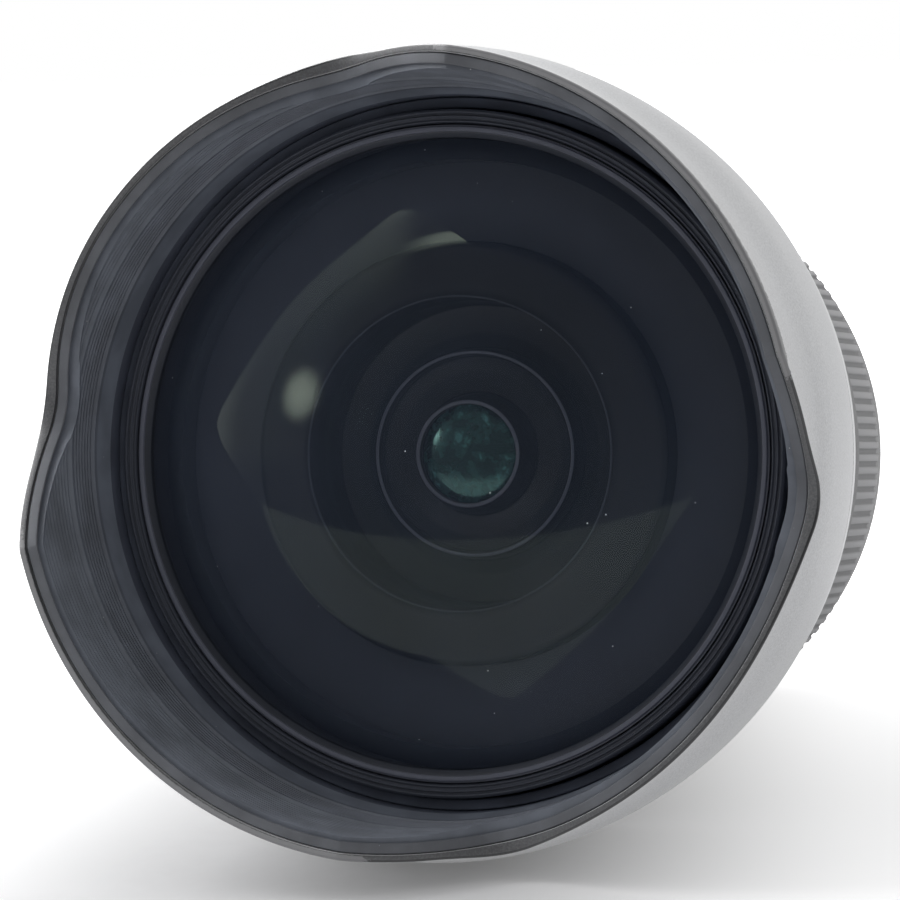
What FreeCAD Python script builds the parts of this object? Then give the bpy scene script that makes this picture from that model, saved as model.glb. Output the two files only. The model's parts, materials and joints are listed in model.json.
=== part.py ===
import FreeCAD, Part
import math
import os

# Wide-angle zoom lens with a fixed petal hood. Millimetres and degrees.
# Each piece is made with the optical axis along Z and its stations counted forward
# from the mount's seat; lay_down() then turns the lens onto its side, so that it
# looks along -Y and rests along the ground with +Z up.
# Angles are read from the front, anticlockwise from +X.

# Fits between pieces, and how far a cutting tool runs past the faces it opens
RUN = 0.07
SEAT = 0.05
FREE = 0.3
OVERCUT = 1.0
SHORTEST_EDGE = 1e-6

# Roll of the lens on the ground: the angle at which its top faces
TOP_ANGLE = 48.0

# Bayonet mount
MOUNT_R = 30.8
MOUNT_PLATE = 2.6
SPIGOT_R = 22.95
SPIGOT_WALL = 2.45
SPIGOT_LENGTH = 5.5
LUG_REACH = 1.95
LUG_THICKNESS = 1.5
LUG_SETBACK = 3.4
LUG_SPAN = 48.0
LUG_COUNT = 3
MOUNT_SCREW_COUNT = 4
MOUNT_SCREW_CIRCLE_R = 27.9
SCREW_R = 0.9
SCREW_HEAD_R = 1.7
SCREW_HEAD_HEIGHT = 1.0
SCREW_LENGTH = 4.2
GASKET_WALL = 0.75
GASKET_LIP = 0.9
INDEX_BEAD_R = 1.1
INDEX_BEAD_PROUD = 0.35
BAFFLE_STEP_R = 23.2
BAFFLE_THICKNESS = 1.3
REAR_WINDOW_WIDTH = 30.0
REAR_WINDOW_HEIGHT = 22.0
CONTACT_COUNT = 10
CONTACT_PIN_R = 0.6
CONTACT_PROUD = 0.35
CONTACT_PITCH = 5.6
CONTACT_BLOCK_WALL = 3.2
CONTACT_BLOCK_SETBACK = 0.9

# Nested tubes of the zoom mechanism, from the inside out
GUIDE_BORE_R = 30.8
GUIDE_WALL = 1.5
CAM_WALL = 1.6
CAM_AIR = 0.8
SPIGOT_TUBE_WALL = 1.3
SLEEVE_WALL = 1.1
ZOOM_RUBBER = 1.4
FOCUS_RUBBER = 2.0

# Lengths along the outside, from the mount forward
REAR_BARREL_FRONT = 34.0
REAR_CYLINDER_LENGTH = 7.5
REAR_BARREL_WALL = 1.9
ZOOM_RING_LENGTH = 21.7
ZOOM_GRIP_REAR_EDGE = 0.4
ZOOM_RIB_LENGTH = 13.5
ZOOM_LIP_LENGTH = 3.4
ZOOM_LIP_STEP = 0.45
COLLAR_LENGTH = 5.9
FOCUS_RING_LENGTH = 20.5
FOCUS_GRIP_MARGIN = 1.2
SHELL_OVERHANG = 4.0
BEARING_LENGTH = 7.0
ZOOM_RIB_COUNT = 144
ZOOM_RIB_DEPTH = 0.5
FOCUS_RIB_COUNT = 90
FOCUS_RIB_DEPTH = 0.6
RIB_GROOVE_SHARE = 0.3
RIB_FLANK_SHARE = 0.12

# Hood
FRONT_RECESS = 22.6
HOOD_GAP = 1.65
LINER_FLARE = 1.5
LINER_TIP_WALL = 1.1
LINER_SETBACK = 0.35
LINER_RIB_PITCH = 2.2
LINER_RIB_DEPTH = 0.45
SHELL_TIP_WALL = 1.85
SHELL_SWELL = 1.05
SHELL_STRAIGHT = 7.0
SHELL_SWELL_BACK = 17.0
SHELL_REAR_WALL = 1.65
SHELL_CHAMFER = 0.6
RIM_CHAMFER = 0.5
SHOULDER_GAP = 0.5
LONG_PETAL_HALF_ANGLE = 34.0
NOTCH_ANGLE = 35.5
SHORT_PETAL_DEPTH = 6.4
NOTCH_DEPTH = 13.4
ARCH_POWER = 2.5
RAMP_POWER = 1.15
ARCH_SECTION_COUNT = 13
RAMP_SECTION_COUNT = 7

# Front barrel, which carries the hood and the mechanism
WEB_THICKNESS = 2.5
FRONT_BARREL_WALL = 1.6
FRONT_BARREL_LENGTH = 16.2
FRONT_SCREW_COUNT = 4
FRONT_SCREW_LEAD = 45.0
GUIDE_FLANGE = 2.0

# Front group
FRONT_TRAVEL = 10.0
CELL_LENGTH = 12.9
ELEMENT_R = 38.9
ELEMENT_BEVEL = 0.6
RING_CREST = 0.3
RING_WALL = 0.8
DOME_SAG = 17.4
DOME_EDGE = 4.0
DOME_SETBACK = 1.8
DOME_HOLLOW_R = 25.0
DOME_HOLLOW_SAG = 13.4
CELL_WALL = 1.65
CELL_CLEARANCE = 0.7
CELL_FACE_SETBACK = 0.5
CELL_LEDGE = 2.8
CELL_RIDGE = 0.3
CELL_RIDGE_PITCH = 0.75
CELL_CHAMFER = 0.4
CELL_SCREW_COUNT = 3
FLANGE_THICKNESS = 2.3
CARRIER_WALL = 1.8
CARRIER_TAIL = 34.5
SECOND_SEAT_R = 26.2
SECOND_SEAT_DEPTH = 4.7
SECOND_EDGE = 2.0
SECOND_FOOT = 0.9
MOAT_R = 15.0
MOAT_DEPTH = 1.5
STEP_R = 12.6
STEP_HEIGHT = 3.2
STEP_WALL = 0.4
CUP_INNER_R = 7.6
CUP_OUTER_R = 10.4
CUP_FLOOR = 0.5
EYE_R = 6.1
EYE_RISE = 6.2
EYE_SAG = 1.2
MASK_BORE_R = 19.3
MASK_SKIRT = 1.2
MASK_WALL = 1.0
MASK_LIP_RISE = 0.7
THIRD_R = 20.2
THIRD_EDGE = 6.0
THIRD_FRONT_SAG = 0.6
THIRD_REAR_SAG = 2.5
LENS_LEDGE = 2.0
LENS_RETAINER = 1.4
HOLDER_WALL = 2.0

# Rollers and cams
ROLLER_COUNT = 3
ROLLER_R = 1.8
ROLLER_SHANK_R = 1.0
ROLLER_INSET = 4.0
ROLLER_ANGLE = 15.0
ZOOM_TURN = 70.0
CAM_OVERRUN = 2.4
CAM_SLACK = 1.5
CAM_SECTION_COUNT = 15
ZOOM_KEY_R = 1.5
CAM_SNAP_RING = 1.4

# Rear zoom group and iris
VARIATOR_REAR = 30.0
VARIATOR_LENGTH = 14.0
VARIATOR_TRAVEL = 5.0
VARIATOR_LENS_R = 15.0
VARIATOR_LENS_EDGE = 3.0
VARIATOR_LENS_SAG = 1.2
IRIS_OPEN_R = 12.6
IRIS_BLADE_WIDTH = 10.7
IRIS_BLADE_COUNT = 7
IRIS_BLADE_THICKNESS = 0.15
IRIS_BLADE_PITCH = 0.3
IRIS_BLADE_ANGLE = 96.0
IRIS_HEEL_ANGLE = 6.0
IRIS_PIN_R = 0.6
IRIS_LEVER = 3.4
IRIS_CLOSE = 22.0
IRIS_PLATE = 1.0

# Focus group, driven by a screw beside two rods
FOCUS_REAR = 14.5
FOCUS_TRAVEL = 3.0
FOCUS_TURN = 120.0
FOCUS_LENS_R = 12.0
FOCUS_CELL_LENGTH = 5.0
FOCUS_LENS_EDGE = 2.4
FOCUS_LENS_SAG = 1.5
ROD_R = 1.0
ROD_CIRCLE_R = 21.0
SCREW_CIRCLE_R = 22.0
LEAD_SCREW_R = 1.0
FOCUS_EAR_WALL = 1.4
FOCUS_EAR_LENGTH = 3.5
MOTOR_R = 4.4
MOTOR_LENGTH = 6.0
DRIVE_ANGLE = 320.0
ROD_ANGLES = (20.0, 200.0)

# Rear frame, rear lens and circuit board
FRAME_REAR = 5.0
FRAME_THICKNESS = 2.0
REAR_LENS_R = 15.0
REAR_LENS_EDGE = 4.8
REAR_LENS_SAG = 1.0
REAR_FLANGE_BORE_R = 23.5
REAR_WEB_THICKNESS = 2.0
REAR_WEB_BORE_R = 16.5
REAR_SCREW_COUNT = 3
BOARD_STAND = 2.0
BOARD_THICKNESS = 1.2
BOARD_START = 55.0
BOARD_SPAN = 120.0
BOARD_POST_R = 1.2
BOARD_POST_COUNT = 3
BOARD_POST_INSET = 14.0
CHIP_COUNT = 4
CHIP_WIDTH = 3.0
CHIP_GROWTH = 0.45
CHIP_HEIGHT = 1.2

# Switches and button on the rear barrel
PANEL_ANGLE = TOP_ANGLE + 90.0
PANEL_MID = 15.5
PANEL_LENGTH = 17.0
PANEL_SPAN = 38.0
PANEL_THICKNESS = 0.8
SWITCH_SPACING = 8.0
SWITCH_TRAVEL = 2.4
SWITCH_CAP_WIDTH = 4.6
SWITCH_CAP_LENGTH = 2.8
SWITCH_CAP_HEIGHT = 1.3
SWITCH_STEM_WIDTH = 2.2
SWITCH_STEM_LENGTH = 1.4
BUTTON_ANGLE = TOP_ANGLE - 115.0
BUTTON_STATION = 16.0
BUTTON_R = 3.2
BUTTON_PROUD = 1.2
BUTTON_TRAVEL = 0.8
BUTTON_STEM_R = 1.3
BUTTON_POCKET = 1.0
BRACKET_WIDTH = 12.0
BRACKET_LENGTH = 6.0
BRACKET_DEPTH = 5.2
BRACKET_FOOT = 2.2
BRACKET_LEG = 2.8

# Radii that follow from the values above
SPIGOT_BORE_R = SPIGOT_R - SPIGOT_WALL
GUIDE_R = GUIDE_BORE_R + GUIDE_WALL
CAM_BORE_R = GUIDE_R + RUN
CAM_R = CAM_BORE_R + CAM_WALL
BEARING_BORE_R = CAM_R + CAM_AIR
BEARING_R = BEARING_BORE_R + SPIGOT_TUBE_WALL
SLEEVE_BORE_R = BEARING_R + RUN
SLEEVE_R = SLEEVE_BORE_R + SLEEVE_WALL
ZOOM_GRIP_R = SLEEVE_R + ZOOM_RUBBER
FOCUS_GRIP_R = SLEEVE_R + FOCUS_RUBBER
CARRIER_R = GUIDE_BORE_R - FREE
GASKET_R = MOUNT_R + SEAT + GASKET_WALL
RING_R = ELEMENT_R + RING_CREST
CELL_THREAD_R = RING_R + RING_WALL
CELL_R = CELL_THREAD_R + SEAT + CELL_WALL + FREE / 2
FRONT_BORE_R = CELL_R + FREE + SEAT
FRONT_BARREL_R = FRONT_BORE_R + FRONT_BARREL_WALL
LINER_BORE_R = CELL_R + HOOD_GAP
LINER_TIP_BORE_R = LINER_BORE_R + LINER_FLARE
LINER_R = LINER_TIP_BORE_R + LINER_TIP_WALL
SHELL_BORE_R = LINER_R + SEAT
SHELL_TIP_R = SHELL_BORE_R + SHELL_TIP_WALL
SHELL_WIDE_R = SHELL_TIP_R + SHELL_SWELL
SHELL_REAR_BORE_R = FRONT_BARREL_R + SEAT
SHELL_REAR_R = SHELL_REAR_BORE_R + SHELL_REAR_WALL

# Stations that follow from the values above
ZOOM_REAR = REAR_BARREL_FRONT + FREE
ZOOM_FRONT = ZOOM_REAR + ZOOM_RING_LENGTH
COLLAR_REAR = ZOOM_FRONT + FREE
COLLAR_FRONT = COLLAR_REAR + COLLAR_LENGTH
FOCUS_RING_REAR = COLLAR_FRONT + FREE
FOCUS_RING_FRONT = FOCUS_RING_REAR + FOCUS_RING_LENGTH
WEB_REAR = FOCUS_RING_FRONT + FREE
WEB_FRONT = WEB_REAR + WEB_THICKNESS
SHELL_REAR = WEB_REAR + SHELL_OVERHANG
CELL_REAR = WEB_FRONT + FRONT_TRAVEL + CELL_CLEARANCE
RING_FRONT = CELL_REAR + CELL_LENGTH
TIP = RING_FRONT + FRONT_RECESS
CELL_FRONT = RING_FRONT - CELL_FACE_SETBACK
DOME_FRONT_EDGE = RING_FRONT - DOME_SETBACK
DOME_REAR_EDGE = DOME_FRONT_EDGE - DOME_EDGE
FLANGE_FRONT = CELL_REAR + FLANGE_THICKNESS
SECOND_FRONT = FLANGE_FRONT - SECOND_SEAT_DEPTH
SECOND_REAR = SECOND_FRONT - SECOND_EDGE
THIRD_FRONT = SECOND_REAR - LENS_LEDGE
TAIL_REAR = CELL_REAR - CARRIER_TAIL
FRONT_ROLLER = TAIL_REAR + ROLLER_INSET
VARIATOR_FRONT = VARIATOR_REAR + VARIATOR_LENGTH
REAR_ROLLER = VARIATOR_REAR + ROLLER_INSET + CAM_OVERRUN
REAR_WEB_FRONT = REAR_BARREL_FRONT - REAR_CYLINDER_LENGTH - FREE
REAR_WEB_REAR = REAR_WEB_FRONT - REAR_WEB_THICKNESS
SHELL_SHOULDER = WEB_REAR + FRONT_BARREL_LENGTH + SHOULDER_GAP
REAR_TAPER_FRONT = REAR_BARREL_FRONT - REAR_CYLINDER_LENGTH

ORIGIN = FreeCAD.Vector(0, 0, 0)
AXIS = FreeCAD.Vector(0, 0, 1)
FULL_TURN = 360.0


def turned(outline):
    """Ring turned about the optical axis from (station, radius) corners."""
    corners = [FreeCAD.Vector(radius, 0, station) for station, radius in outline]
    return Part.Face(Part.makePolygon(corners + corners[:1])).revolve(ORIGIN, AXIS, FULL_TURN)


def tube(rear, front, bore_r, outer_r):
    """Plain tube between two stations."""
    return turned([(rear, bore_r), (rear, outer_r), (front, outer_r), (front, bore_r)])


def disc(rear, front, radius):
    """Plain round plug between two stations."""
    return Part.makeCylinder(radius, front - rear, FreeCAD.Vector(0, 0, rear), AXIS)


def turn_to(shape, angle):
    """Copy of a shape turned about the optical axis."""
    copy = shape.copy()
    copy.rotate(ORIGIN, AXIS, angle)
    return copy


def spread(count, start=0.0):
    """Angles spaced evenly round a full turn."""
    return [start + FULL_TURN * i / count for i in range(count)]


def around(shape, count, start=0.0):
    """Copies of a shape spaced evenly about the optical axis."""
    return [turn_to(shape, angle) for angle in spread(count, start)]


def axial_pin(radius, rear, front, circle_r, angle):
    """Round pin parallel to the optical axis."""
    pin = Part.makeCylinder(radius, front - rear, FreeCAD.Vector(circle_r, 0, rear), AXIS)
    return turn_to(pin, angle)


def radial_pin(radius, inner_r, outer_r, station, angle=0.0):
    """Round pin that points away from the optical axis."""
    base = FreeCAD.Vector(inner_r, 0, station)
    pin = Part.makeCylinder(radius, outer_r - inner_r, base, FreeCAD.Vector(1, 0, 0))
    return turn_to(pin, angle)


def sector(rear, front, bore_r, outer_r, start, span):
    """Part of a tube between two angles."""
    corners = [(rear, bore_r), (rear, outer_r), (front, outer_r), (front, bore_r)]
    points = [FreeCAD.Vector(radius, 0, station) for station, radius in corners]
    face = Part.Face(Part.makePolygon(points + points[:1]))
    return turn_to(face.revolve(ORIGIN, AXIS, span), start)


def screw(head_end, circle_r, angle, direction, room=0.0):
    """Cheese-head screw along a direction, or the hole that leaves room all round it."""
    base = FreeCAD.Vector(circle_r, 0, head_end)
    head = Part.makeCylinder(SCREW_HEAD_R + room, SCREW_HEAD_HEIGHT, base, direction)
    shank = Part.makeCylinder(SCREW_R + room, SCREW_LENGTH + room, base, direction)
    return turn_to(head.fuse(shank).removeSplitter(), angle)


def arc_points(radius, apex, sag):
    """Middle and rim points of the meridian of a round lens face, and its apex."""
    sphere_r = (radius ** 2 + sag ** 2) / (2 * abs(sag))
    half = math.asin(min(1.0, radius / sphere_r)) / 2
    bend = sphere_r * (1 - math.cos(half))
    middle = FreeCAD.Vector(sphere_r * math.sin(half), 0, apex - math.copysign(bend, sag))
    return FreeCAD.Vector(0, 0, apex), middle, FreeCAD.Vector(radius, 0, apex - sag)


def lens(rear, front, radius, front_sag, rear_sag, front_r=None, rear_r=None):
    """Lens element. A positive sag bulges out of the element, a negative one is hollow."""
    front_r = front_r or radius
    rear_r = rear_r or radius
    front_apex, front_mid, front_rim = arc_points(front_r, front + front_sag, front_sag)
    rear_apex, rear_mid, rear_rim = arc_points(rear_r, rear - rear_sag, -rear_sag)
    edges = [Part.Arc(front_apex, front_mid, front_rim).toShape()]
    corners = [front_rim, FreeCAD.Vector(radius, 0, front), FreeCAD.Vector(radius, 0, rear), rear_rim]
    for start, end in zip(corners, corners[1:]):
        if start.distanceToPoint(end) > SHORTEST_EDGE:
            edges.append(Part.makeLine(start, end))
    edges.append(Part.Arc(rear_rim, rear_mid, rear_apex).toShape())
    edges.append(Part.makeLine(rear_apex, front_apex))
    return Part.Face(Part.Wire(edges)).revolve(ORIGIN, AXIS, FULL_TURN)


def notch_depth(offset):
    """Depth of the hood's edge behind its tip, at an angle from a short petal's middle."""
    reach = abs(offset)
    if reach <= NOTCH_ANGLE:
        fall = NOTCH_DEPTH - SHORT_PETAL_DEPTH
        return SHORT_PETAL_DEPTH + fall * (reach / NOTCH_ANGLE) ** ARCH_POWER
    ramp = (reach - NOTCH_ANGLE) / (90.0 - LONG_PETAL_HALF_ANGLE - NOTCH_ANGLE)
    return NOTCH_DEPTH * (1 - min(ramp, 1.0)) ** RAMP_POWER


def petal_cutters():
    """Solids that cut the hood's edge down to its two short petals."""
    inner_r = LINER_BORE_R - HOOD_GAP
    outer_r = SHELL_WIDE_R + SHELL_TIP_WALL
    above = TIP + SHELL_TIP_WALL
    ramp_end = 90.0 - LONG_PETAL_HALF_ANGLE
    spans = [
        (-ramp_end, -NOTCH_ANGLE, RAMP_SECTION_COUNT),
        (-NOTCH_ANGLE, NOTCH_ANGLE, ARCH_SECTION_COUNT),
        (NOTCH_ANGLE, ramp_end, RAMP_SECTION_COUNT),
    ]
    cutters = []
    for first, last, count in spans:
        sections = []
        for i in range(count):
            offset = first + (last - first) * i / (count - 1)
            edge = TIP - notch_depth(offset) + (SEAT if abs(offset) >= ramp_end else 0.0)
            corners = [(edge, inner_r), (edge, outer_r), (above, outer_r), (above, inner_r)]
            points = [FreeCAD.Vector(radius, 0, station) for station, radius in corners]
            sections.append(turn_to(Part.makePolygon(points + points[:1]), offset))
        cutters.append(Part.makeLoft(sections, True, False))
    both = []
    for side in (90.0, 270.0):
        both += [turn_to(cutter, TOP_ANGLE + side) for cutter in cutters]
    return both


def shell_outline():
    """Meridian edges of the hood's shell: straight tip, smooth swell, arc to the rear."""
    widest = TIP - SHELL_SWELL_BACK
    straight = TIP - SHELL_STRAIGHT
    rear_outer = SHELL_REAR + SHELL_CHAMFER
    fall = SHELL_WIDE_R - SHELL_REAR_R

    def point(station, radius):
        """Corner in the meridian plane."""
        return FreeCAD.Vector(radius, 0, station)

    def rear_point(station):
        """Point of the rear arc."""
        share = (widest - station) / (widest - SHELL_REAR)
        return point(station, SHELL_WIDE_R - fall * share ** 2)

    swell = Part.BSplineCurve()
    ends = [point(straight, SHELL_TIP_R), point(widest, SHELL_WIDE_R)]
    swell.interpolate(Points=ends, InitialTangent=-AXIS, FinalTangent=-AXIS)
    rear_arc = [rear_point(s) for s in (widest, (widest + rear_outer) / 2, rear_outer)]
    corners = [
        rear_arc[-1],
        point(SHELL_REAR, SHELL_REAR_R - SHELL_CHAMFER),
        point(SHELL_REAR, SHELL_REAR_BORE_R),
        point(SHELL_SHOULDER, SHELL_REAR_BORE_R),
        point(SHELL_SHOULDER, SHELL_BORE_R),
        point(TIP, SHELL_BORE_R),
        point(TIP, SHELL_TIP_R - RIM_CHAMFER),
        point(TIP - RIM_CHAMFER, SHELL_TIP_R),
        ends[0],
    ]
    edges = [swell.toShape(), Part.Arc(*rear_arc).toShape()]
    edges += [Part.makeLine(a, b) for a, b in zip(corners, corners[1:])]
    return edges


def hood_shell(cutters):
    """One-piece outer shell with the petal hood in front."""
    body = Part.Face(Part.Wire(shell_outline())).revolve(ORIGIN, AXIS, FULL_TURN)
    return body.cut(cutters)


def liner_bore(station):
    """Mean bore radius of the flared liner at a station."""
    rear = SHELL_SHOULDER + SEAT
    front = TIP - LINER_SETBACK
    return LINER_BORE_R + LINER_FLARE * (station - rear) / (front - rear)


def hood_liner(cutters):
    """Flared inner sleeve of the hood, with light-trapping ribs."""
    rear = SHELL_SHOULDER + SEAT
    front = TIP - LINER_SETBACK
    outline = [(rear, LINER_BORE_R), (rear, LINER_R), (front, LINER_R), (front, liner_bore(front))]
    ribs = int((front - rear - LINER_RIB_PITCH) / LINER_RIB_PITCH)
    for i in range(ribs):
        crest = front - LINER_RIB_PITCH * (i + 1)
        root = crest + LINER_RIB_PITCH / 4
        outline += [(root, liner_bore(root) + LINER_RIB_DEPTH), (crest, liner_bore(crest))]
    return turned(outline).cut(cutters)


def front_barrel():
    """Barrel behind the hood: carries the shell, the guide tube and the focus ring's sleeve."""
    front = WEB_REAR + FRONT_BARREL_LENGTH
    outline = [
        (WEB_REAR, CARRIER_R + FREE),
        (WEB_REAR, FOCUS_GRIP_R + FREE),
        (SHELL_REAR - SHELL_CHAMFER, FRONT_BARREL_R),
        (front, FRONT_BARREL_R),
        (front, FRONT_BORE_R),
        (WEB_FRONT, FRONT_BORE_R),
        (WEB_FRONT, CARRIER_R + FREE),
    ]
    return turned(outline).cut(front_screw_set(SEAT))


def front_screw_set(room):
    """Screws through the front barrel's web into the guide tube, or their holes."""
    one = screw(WEB_FRONT, GUIDE_R + SCREW_HEAD_R / 2, 0.0, -AXIS, room)
    return around(one, FRONT_SCREW_COUNT, ROLLER_ANGLE + FRONT_SCREW_LEAD)


def middle_barrel():
    """Fixed collar between the two rings, with the sleeve that the focus ring turns on."""
    rear = COLLAR_REAR - BEARING_LENGTH
    outline = [
        (rear, BEARING_BORE_R),
        (rear, BEARING_R),
        (COLLAR_REAR, BEARING_R),
        (COLLAR_REAR, SLEEVE_R),
        (COLLAR_FRONT, SLEEVE_R),
        (COLLAR_FRONT, BEARING_R),
        (WEB_REAR, BEARING_R),
        (WEB_REAR, BEARING_BORE_R),
    ]
    return turned(outline)


def straight_slots(station, travel):
    """Axial slots for one set of rollers, cut through the guide tube."""
    half = ROLLER_R + RUN
    low = min(station, station + travel)
    high = max(station, station + travel)
    length = high - low
    inner_r = GUIDE_BORE_R - OVERCUT
    outer_r = GUIDE_R + OVERCUT
    block = Part.makeBox(outer_r - inner_r, 2 * half, length, FreeCAD.Vector(inner_r, -half, low))
    ends = [radial_pin(half, inner_r, outer_r, station) for station in (low, high)]
    return around(block.fuse(ends), ROLLER_COUNT, ROLLER_ANGLE)


def guide_tube():
    """Fixed tube with straight slots that keep the zoom groups from turning."""
    front_flange_rear = WEB_REAR - GUIDE_FLANGE
    rear_flange_front = REAR_WEB_FRONT + GUIDE_FLANGE
    flange_r = CAM_R - FREE
    outline = [
        (REAR_WEB_FRONT, GUIDE_BORE_R),
        (REAR_WEB_FRONT, flange_r),
        (rear_flange_front, flange_r),
        (rear_flange_front, GUIDE_R),
        (front_flange_rear, GUIDE_R),
        (front_flange_rear, flange_r + FREE),
        (WEB_REAR, flange_r + FREE),
        (WEB_REAR, GUIDE_BORE_R),
    ]
    slots = straight_slots(FRONT_ROLLER, -FRONT_TRAVEL) + straight_slots(REAR_ROLLER, VARIATOR_TRAVEL)
    return turned(outline).cut(slots).cut(front_screw_set(SEAT) + rear_screw_set(SEAT))


def helical_slots(station, travel):
    """Cam slots in which one set of rollers climbs while the cam tube turns."""
    half = ROLLER_R + RUN
    inner_r = CAM_BORE_R - OVERCUT
    outer_r = CAM_R + OVERCUT
    mean_r = (CAM_BORE_R + CAM_R) / 2
    rise = abs(travel) / ZOOM_TURN
    turn = ZOOM_TURN + 2 * CAM_SLACK
    reach = rise * turn
    low = min(station, station + travel) - rise * CAM_SLACK
    left_handed = travel > 0
    way = -1.0 if left_handed else 1.0
    low_end = ROLLER_ANGLE + CAM_SLACK if left_handed else ROLLER_ANGLE - ZOOM_TURN - CAM_SLACK
    slope = math.atan2(reach, math.radians(turn) * mean_r)
    axial_half = half / math.cos(slope)
    sections = []
    for i in range(CAM_SECTION_COUNT):
        share = i / (CAM_SECTION_COUNT - 1)
        bottom = low + reach * share - axial_half
        top = bottom + 2 * axial_half
        corners = [(bottom, inner_r), (bottom, outer_r), (top, outer_r), (top, inner_r)]
        points = [FreeCAD.Vector(radius, 0, station) for station, radius in corners]
        sections.append(turn_to(Part.makePolygon(points + points[:1]), way * turn * share))
    groove = Part.makeLoft(sections, True, False)
    first = radial_pin(half, inner_r, outer_r, low)
    last = radial_pin(half, inner_r, outer_r, low + reach, way * turn)
    slots = []
    for piece in (groove, first, last):
        slots += around(piece, ROLLER_COUNT, low_end)
    return slots


def cam_tube():
    """Tube turned by the zoom ring; its helical slots move both zoom groups."""
    rear = REAR_WEB_FRONT + GUIDE_FLANGE + FREE
    front = FRONT_ROLLER + ROLLER_R + CAM_OVERRUN
    body = tube(rear, front, CAM_BORE_R, CAM_R)
    for cutter in helical_slots(FRONT_ROLLER, -FRONT_TRAVEL) + helical_slots(REAR_ROLLER, VARIATOR_TRAVEL):
        body = body.cut(cutter)
    key = radial_pin(ZOOM_KEY_R + SEAT, GUIDE_BORE_R, ZOOM_GRIP_R, zoom_key_station(), zoom_key_angle())
    return body.cut(key)


def cam_snap_ring():
    """Snap ring on the guide tube that stops the cam tube from moving forward."""
    rear = FRONT_ROLLER + ROLLER_R + CAM_OVERRUN + FREE
    ring = tube(rear, rear + CAM_SNAP_RING, GUIDE_R + SEAT, CAM_R)
    gap = Part.makeBox(CAM_R, 2 * ROLLER_R, 2 * CAM_SNAP_RING, FreeCAD.Vector(0, -ROLLER_R, rear - FREE))
    return ring.cut(turn_to(gap, ROLLER_ANGLE))


def zoom_key_station():
    """Station of the pin between the zoom ring's sleeve and the cam tube."""
    return (ZOOM_REAR + BEARING_LENGTH + COLLAR_REAR - BEARING_LENGTH) / 2


def zoom_key_angle():
    """Angle of the zoom key, clear of both sets of cam slots."""
    return ROLLER_ANGLE - ZOOM_TURN + FULL_TURN / ROLLER_COUNT / 2


def zoom_key():
    """Pin that makes the cam tube turn with the zoom ring."""
    return radial_pin(ZOOM_KEY_R, CAM_BORE_R + RUN, SLEEVE_R - SEAT, zoom_key_station(), zoom_key_angle())


def zoom_sleeve():
    """Hard sleeve of the zoom ring, running on the rear and middle barrels."""
    body = tube(ZOOM_REAR, ZOOM_FRONT, SLEEVE_BORE_R, SLEEVE_R)
    key = radial_pin(ZOOM_KEY_R + SEAT, GUIDE_BORE_R, ZOOM_GRIP_R, zoom_key_station(), zoom_key_angle())
    return body.cut(key)


def ribbed_grip(rear, front, bore_r, outer_r, count, depth):
    """Rubber band with ribs along the axis, one closed profile extruded."""
    root_r = outer_r - depth
    crest = RIB_GROOVE_SHARE + RIB_FLANK_SHARE
    corners = (
        (0.0, root_r),
        (RIB_GROOVE_SHARE, root_r),
        (crest, outer_r),
        (1 - RIB_FLANK_SHARE, outer_r),
    )
    points = []
    pitch = 2 * math.pi / count
    for i in range(count):
        start = pitch * i
        for share, radius in corners:
            angle = start + pitch * share
            points.append(FreeCAD.Vector(radius * math.cos(angle), radius * math.sin(angle), rear))
    face = Part.Face(Part.makePolygon(points + points[:1]))
    solid = face.extrude(AXIS * (front - rear))
    return solid.cut(disc(rear - depth, front + depth, bore_r))


def zoom_grip():
    """Rubber of the zoom ring: fine ribs behind a smooth lip."""
    rear = ZOOM_REAR + ZOOM_GRIP_REAR_EDGE
    ribs_front = rear + ZOOM_RIB_LENGTH
    bore_r = SLEEVE_R + SEAT
    ribs = ribbed_grip(rear, ribs_front, bore_r, ZOOM_GRIP_R, ZOOM_RIB_COUNT, ZOOM_RIB_DEPTH)
    lip = tube(ribs_front, ribs_front + ZOOM_LIP_LENGTH, bore_r, ZOOM_GRIP_R - ZOOM_LIP_STEP)
    return ribs.fuse(lip)


def focus_sleeve():
    """Hard sleeve of the focus ring."""
    return tube(FOCUS_RING_REAR, FOCUS_RING_FRONT, SLEEVE_BORE_R, SLEEVE_R)


def focus_grip():
    """Ribbed rubber of the focus ring."""
    rear = FOCUS_RING_REAR + FOCUS_GRIP_MARGIN
    front = FOCUS_RING_FRONT - FOCUS_GRIP_MARGIN
    return ribbed_grip(rear, front, SLEEVE_R + SEAT, FOCUS_GRIP_R, FOCUS_RIB_COUNT, FOCUS_RIB_DEPTH)


def front_element():
    """Large bulging front element, hollow behind."""
    front_r = ELEMENT_R - ELEMENT_BEVEL
    return lens(
        DOME_REAR_EDGE, DOME_FRONT_EDGE, ELEMENT_R, DOME_SAG, -DOME_HOLLOW_SAG, front_r, DOME_HOLLOW_R
    )


def front_retainer():
    """Threaded ring with a rounded crest that holds the front element in its cell."""
    lip_r = ELEMENT_R - ELEMENT_BEVEL + 3 * SEAT
    outline = [
        (DOME_FRONT_EDGE, lip_r),
        (DOME_FRONT_EDGE, CELL_THREAD_R),
        (CELL_FRONT - FREE, CELL_THREAD_R),
        (RING_FRONT - FREE / 2, RING_R + FREE / 2),
        (RING_FRONT, RING_R),
        (RING_FRONT - FREE / 2, RING_R - FREE / 2),
        (CELL_FRONT - FREE, lip_r),
    ]
    return turned(outline)


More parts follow.
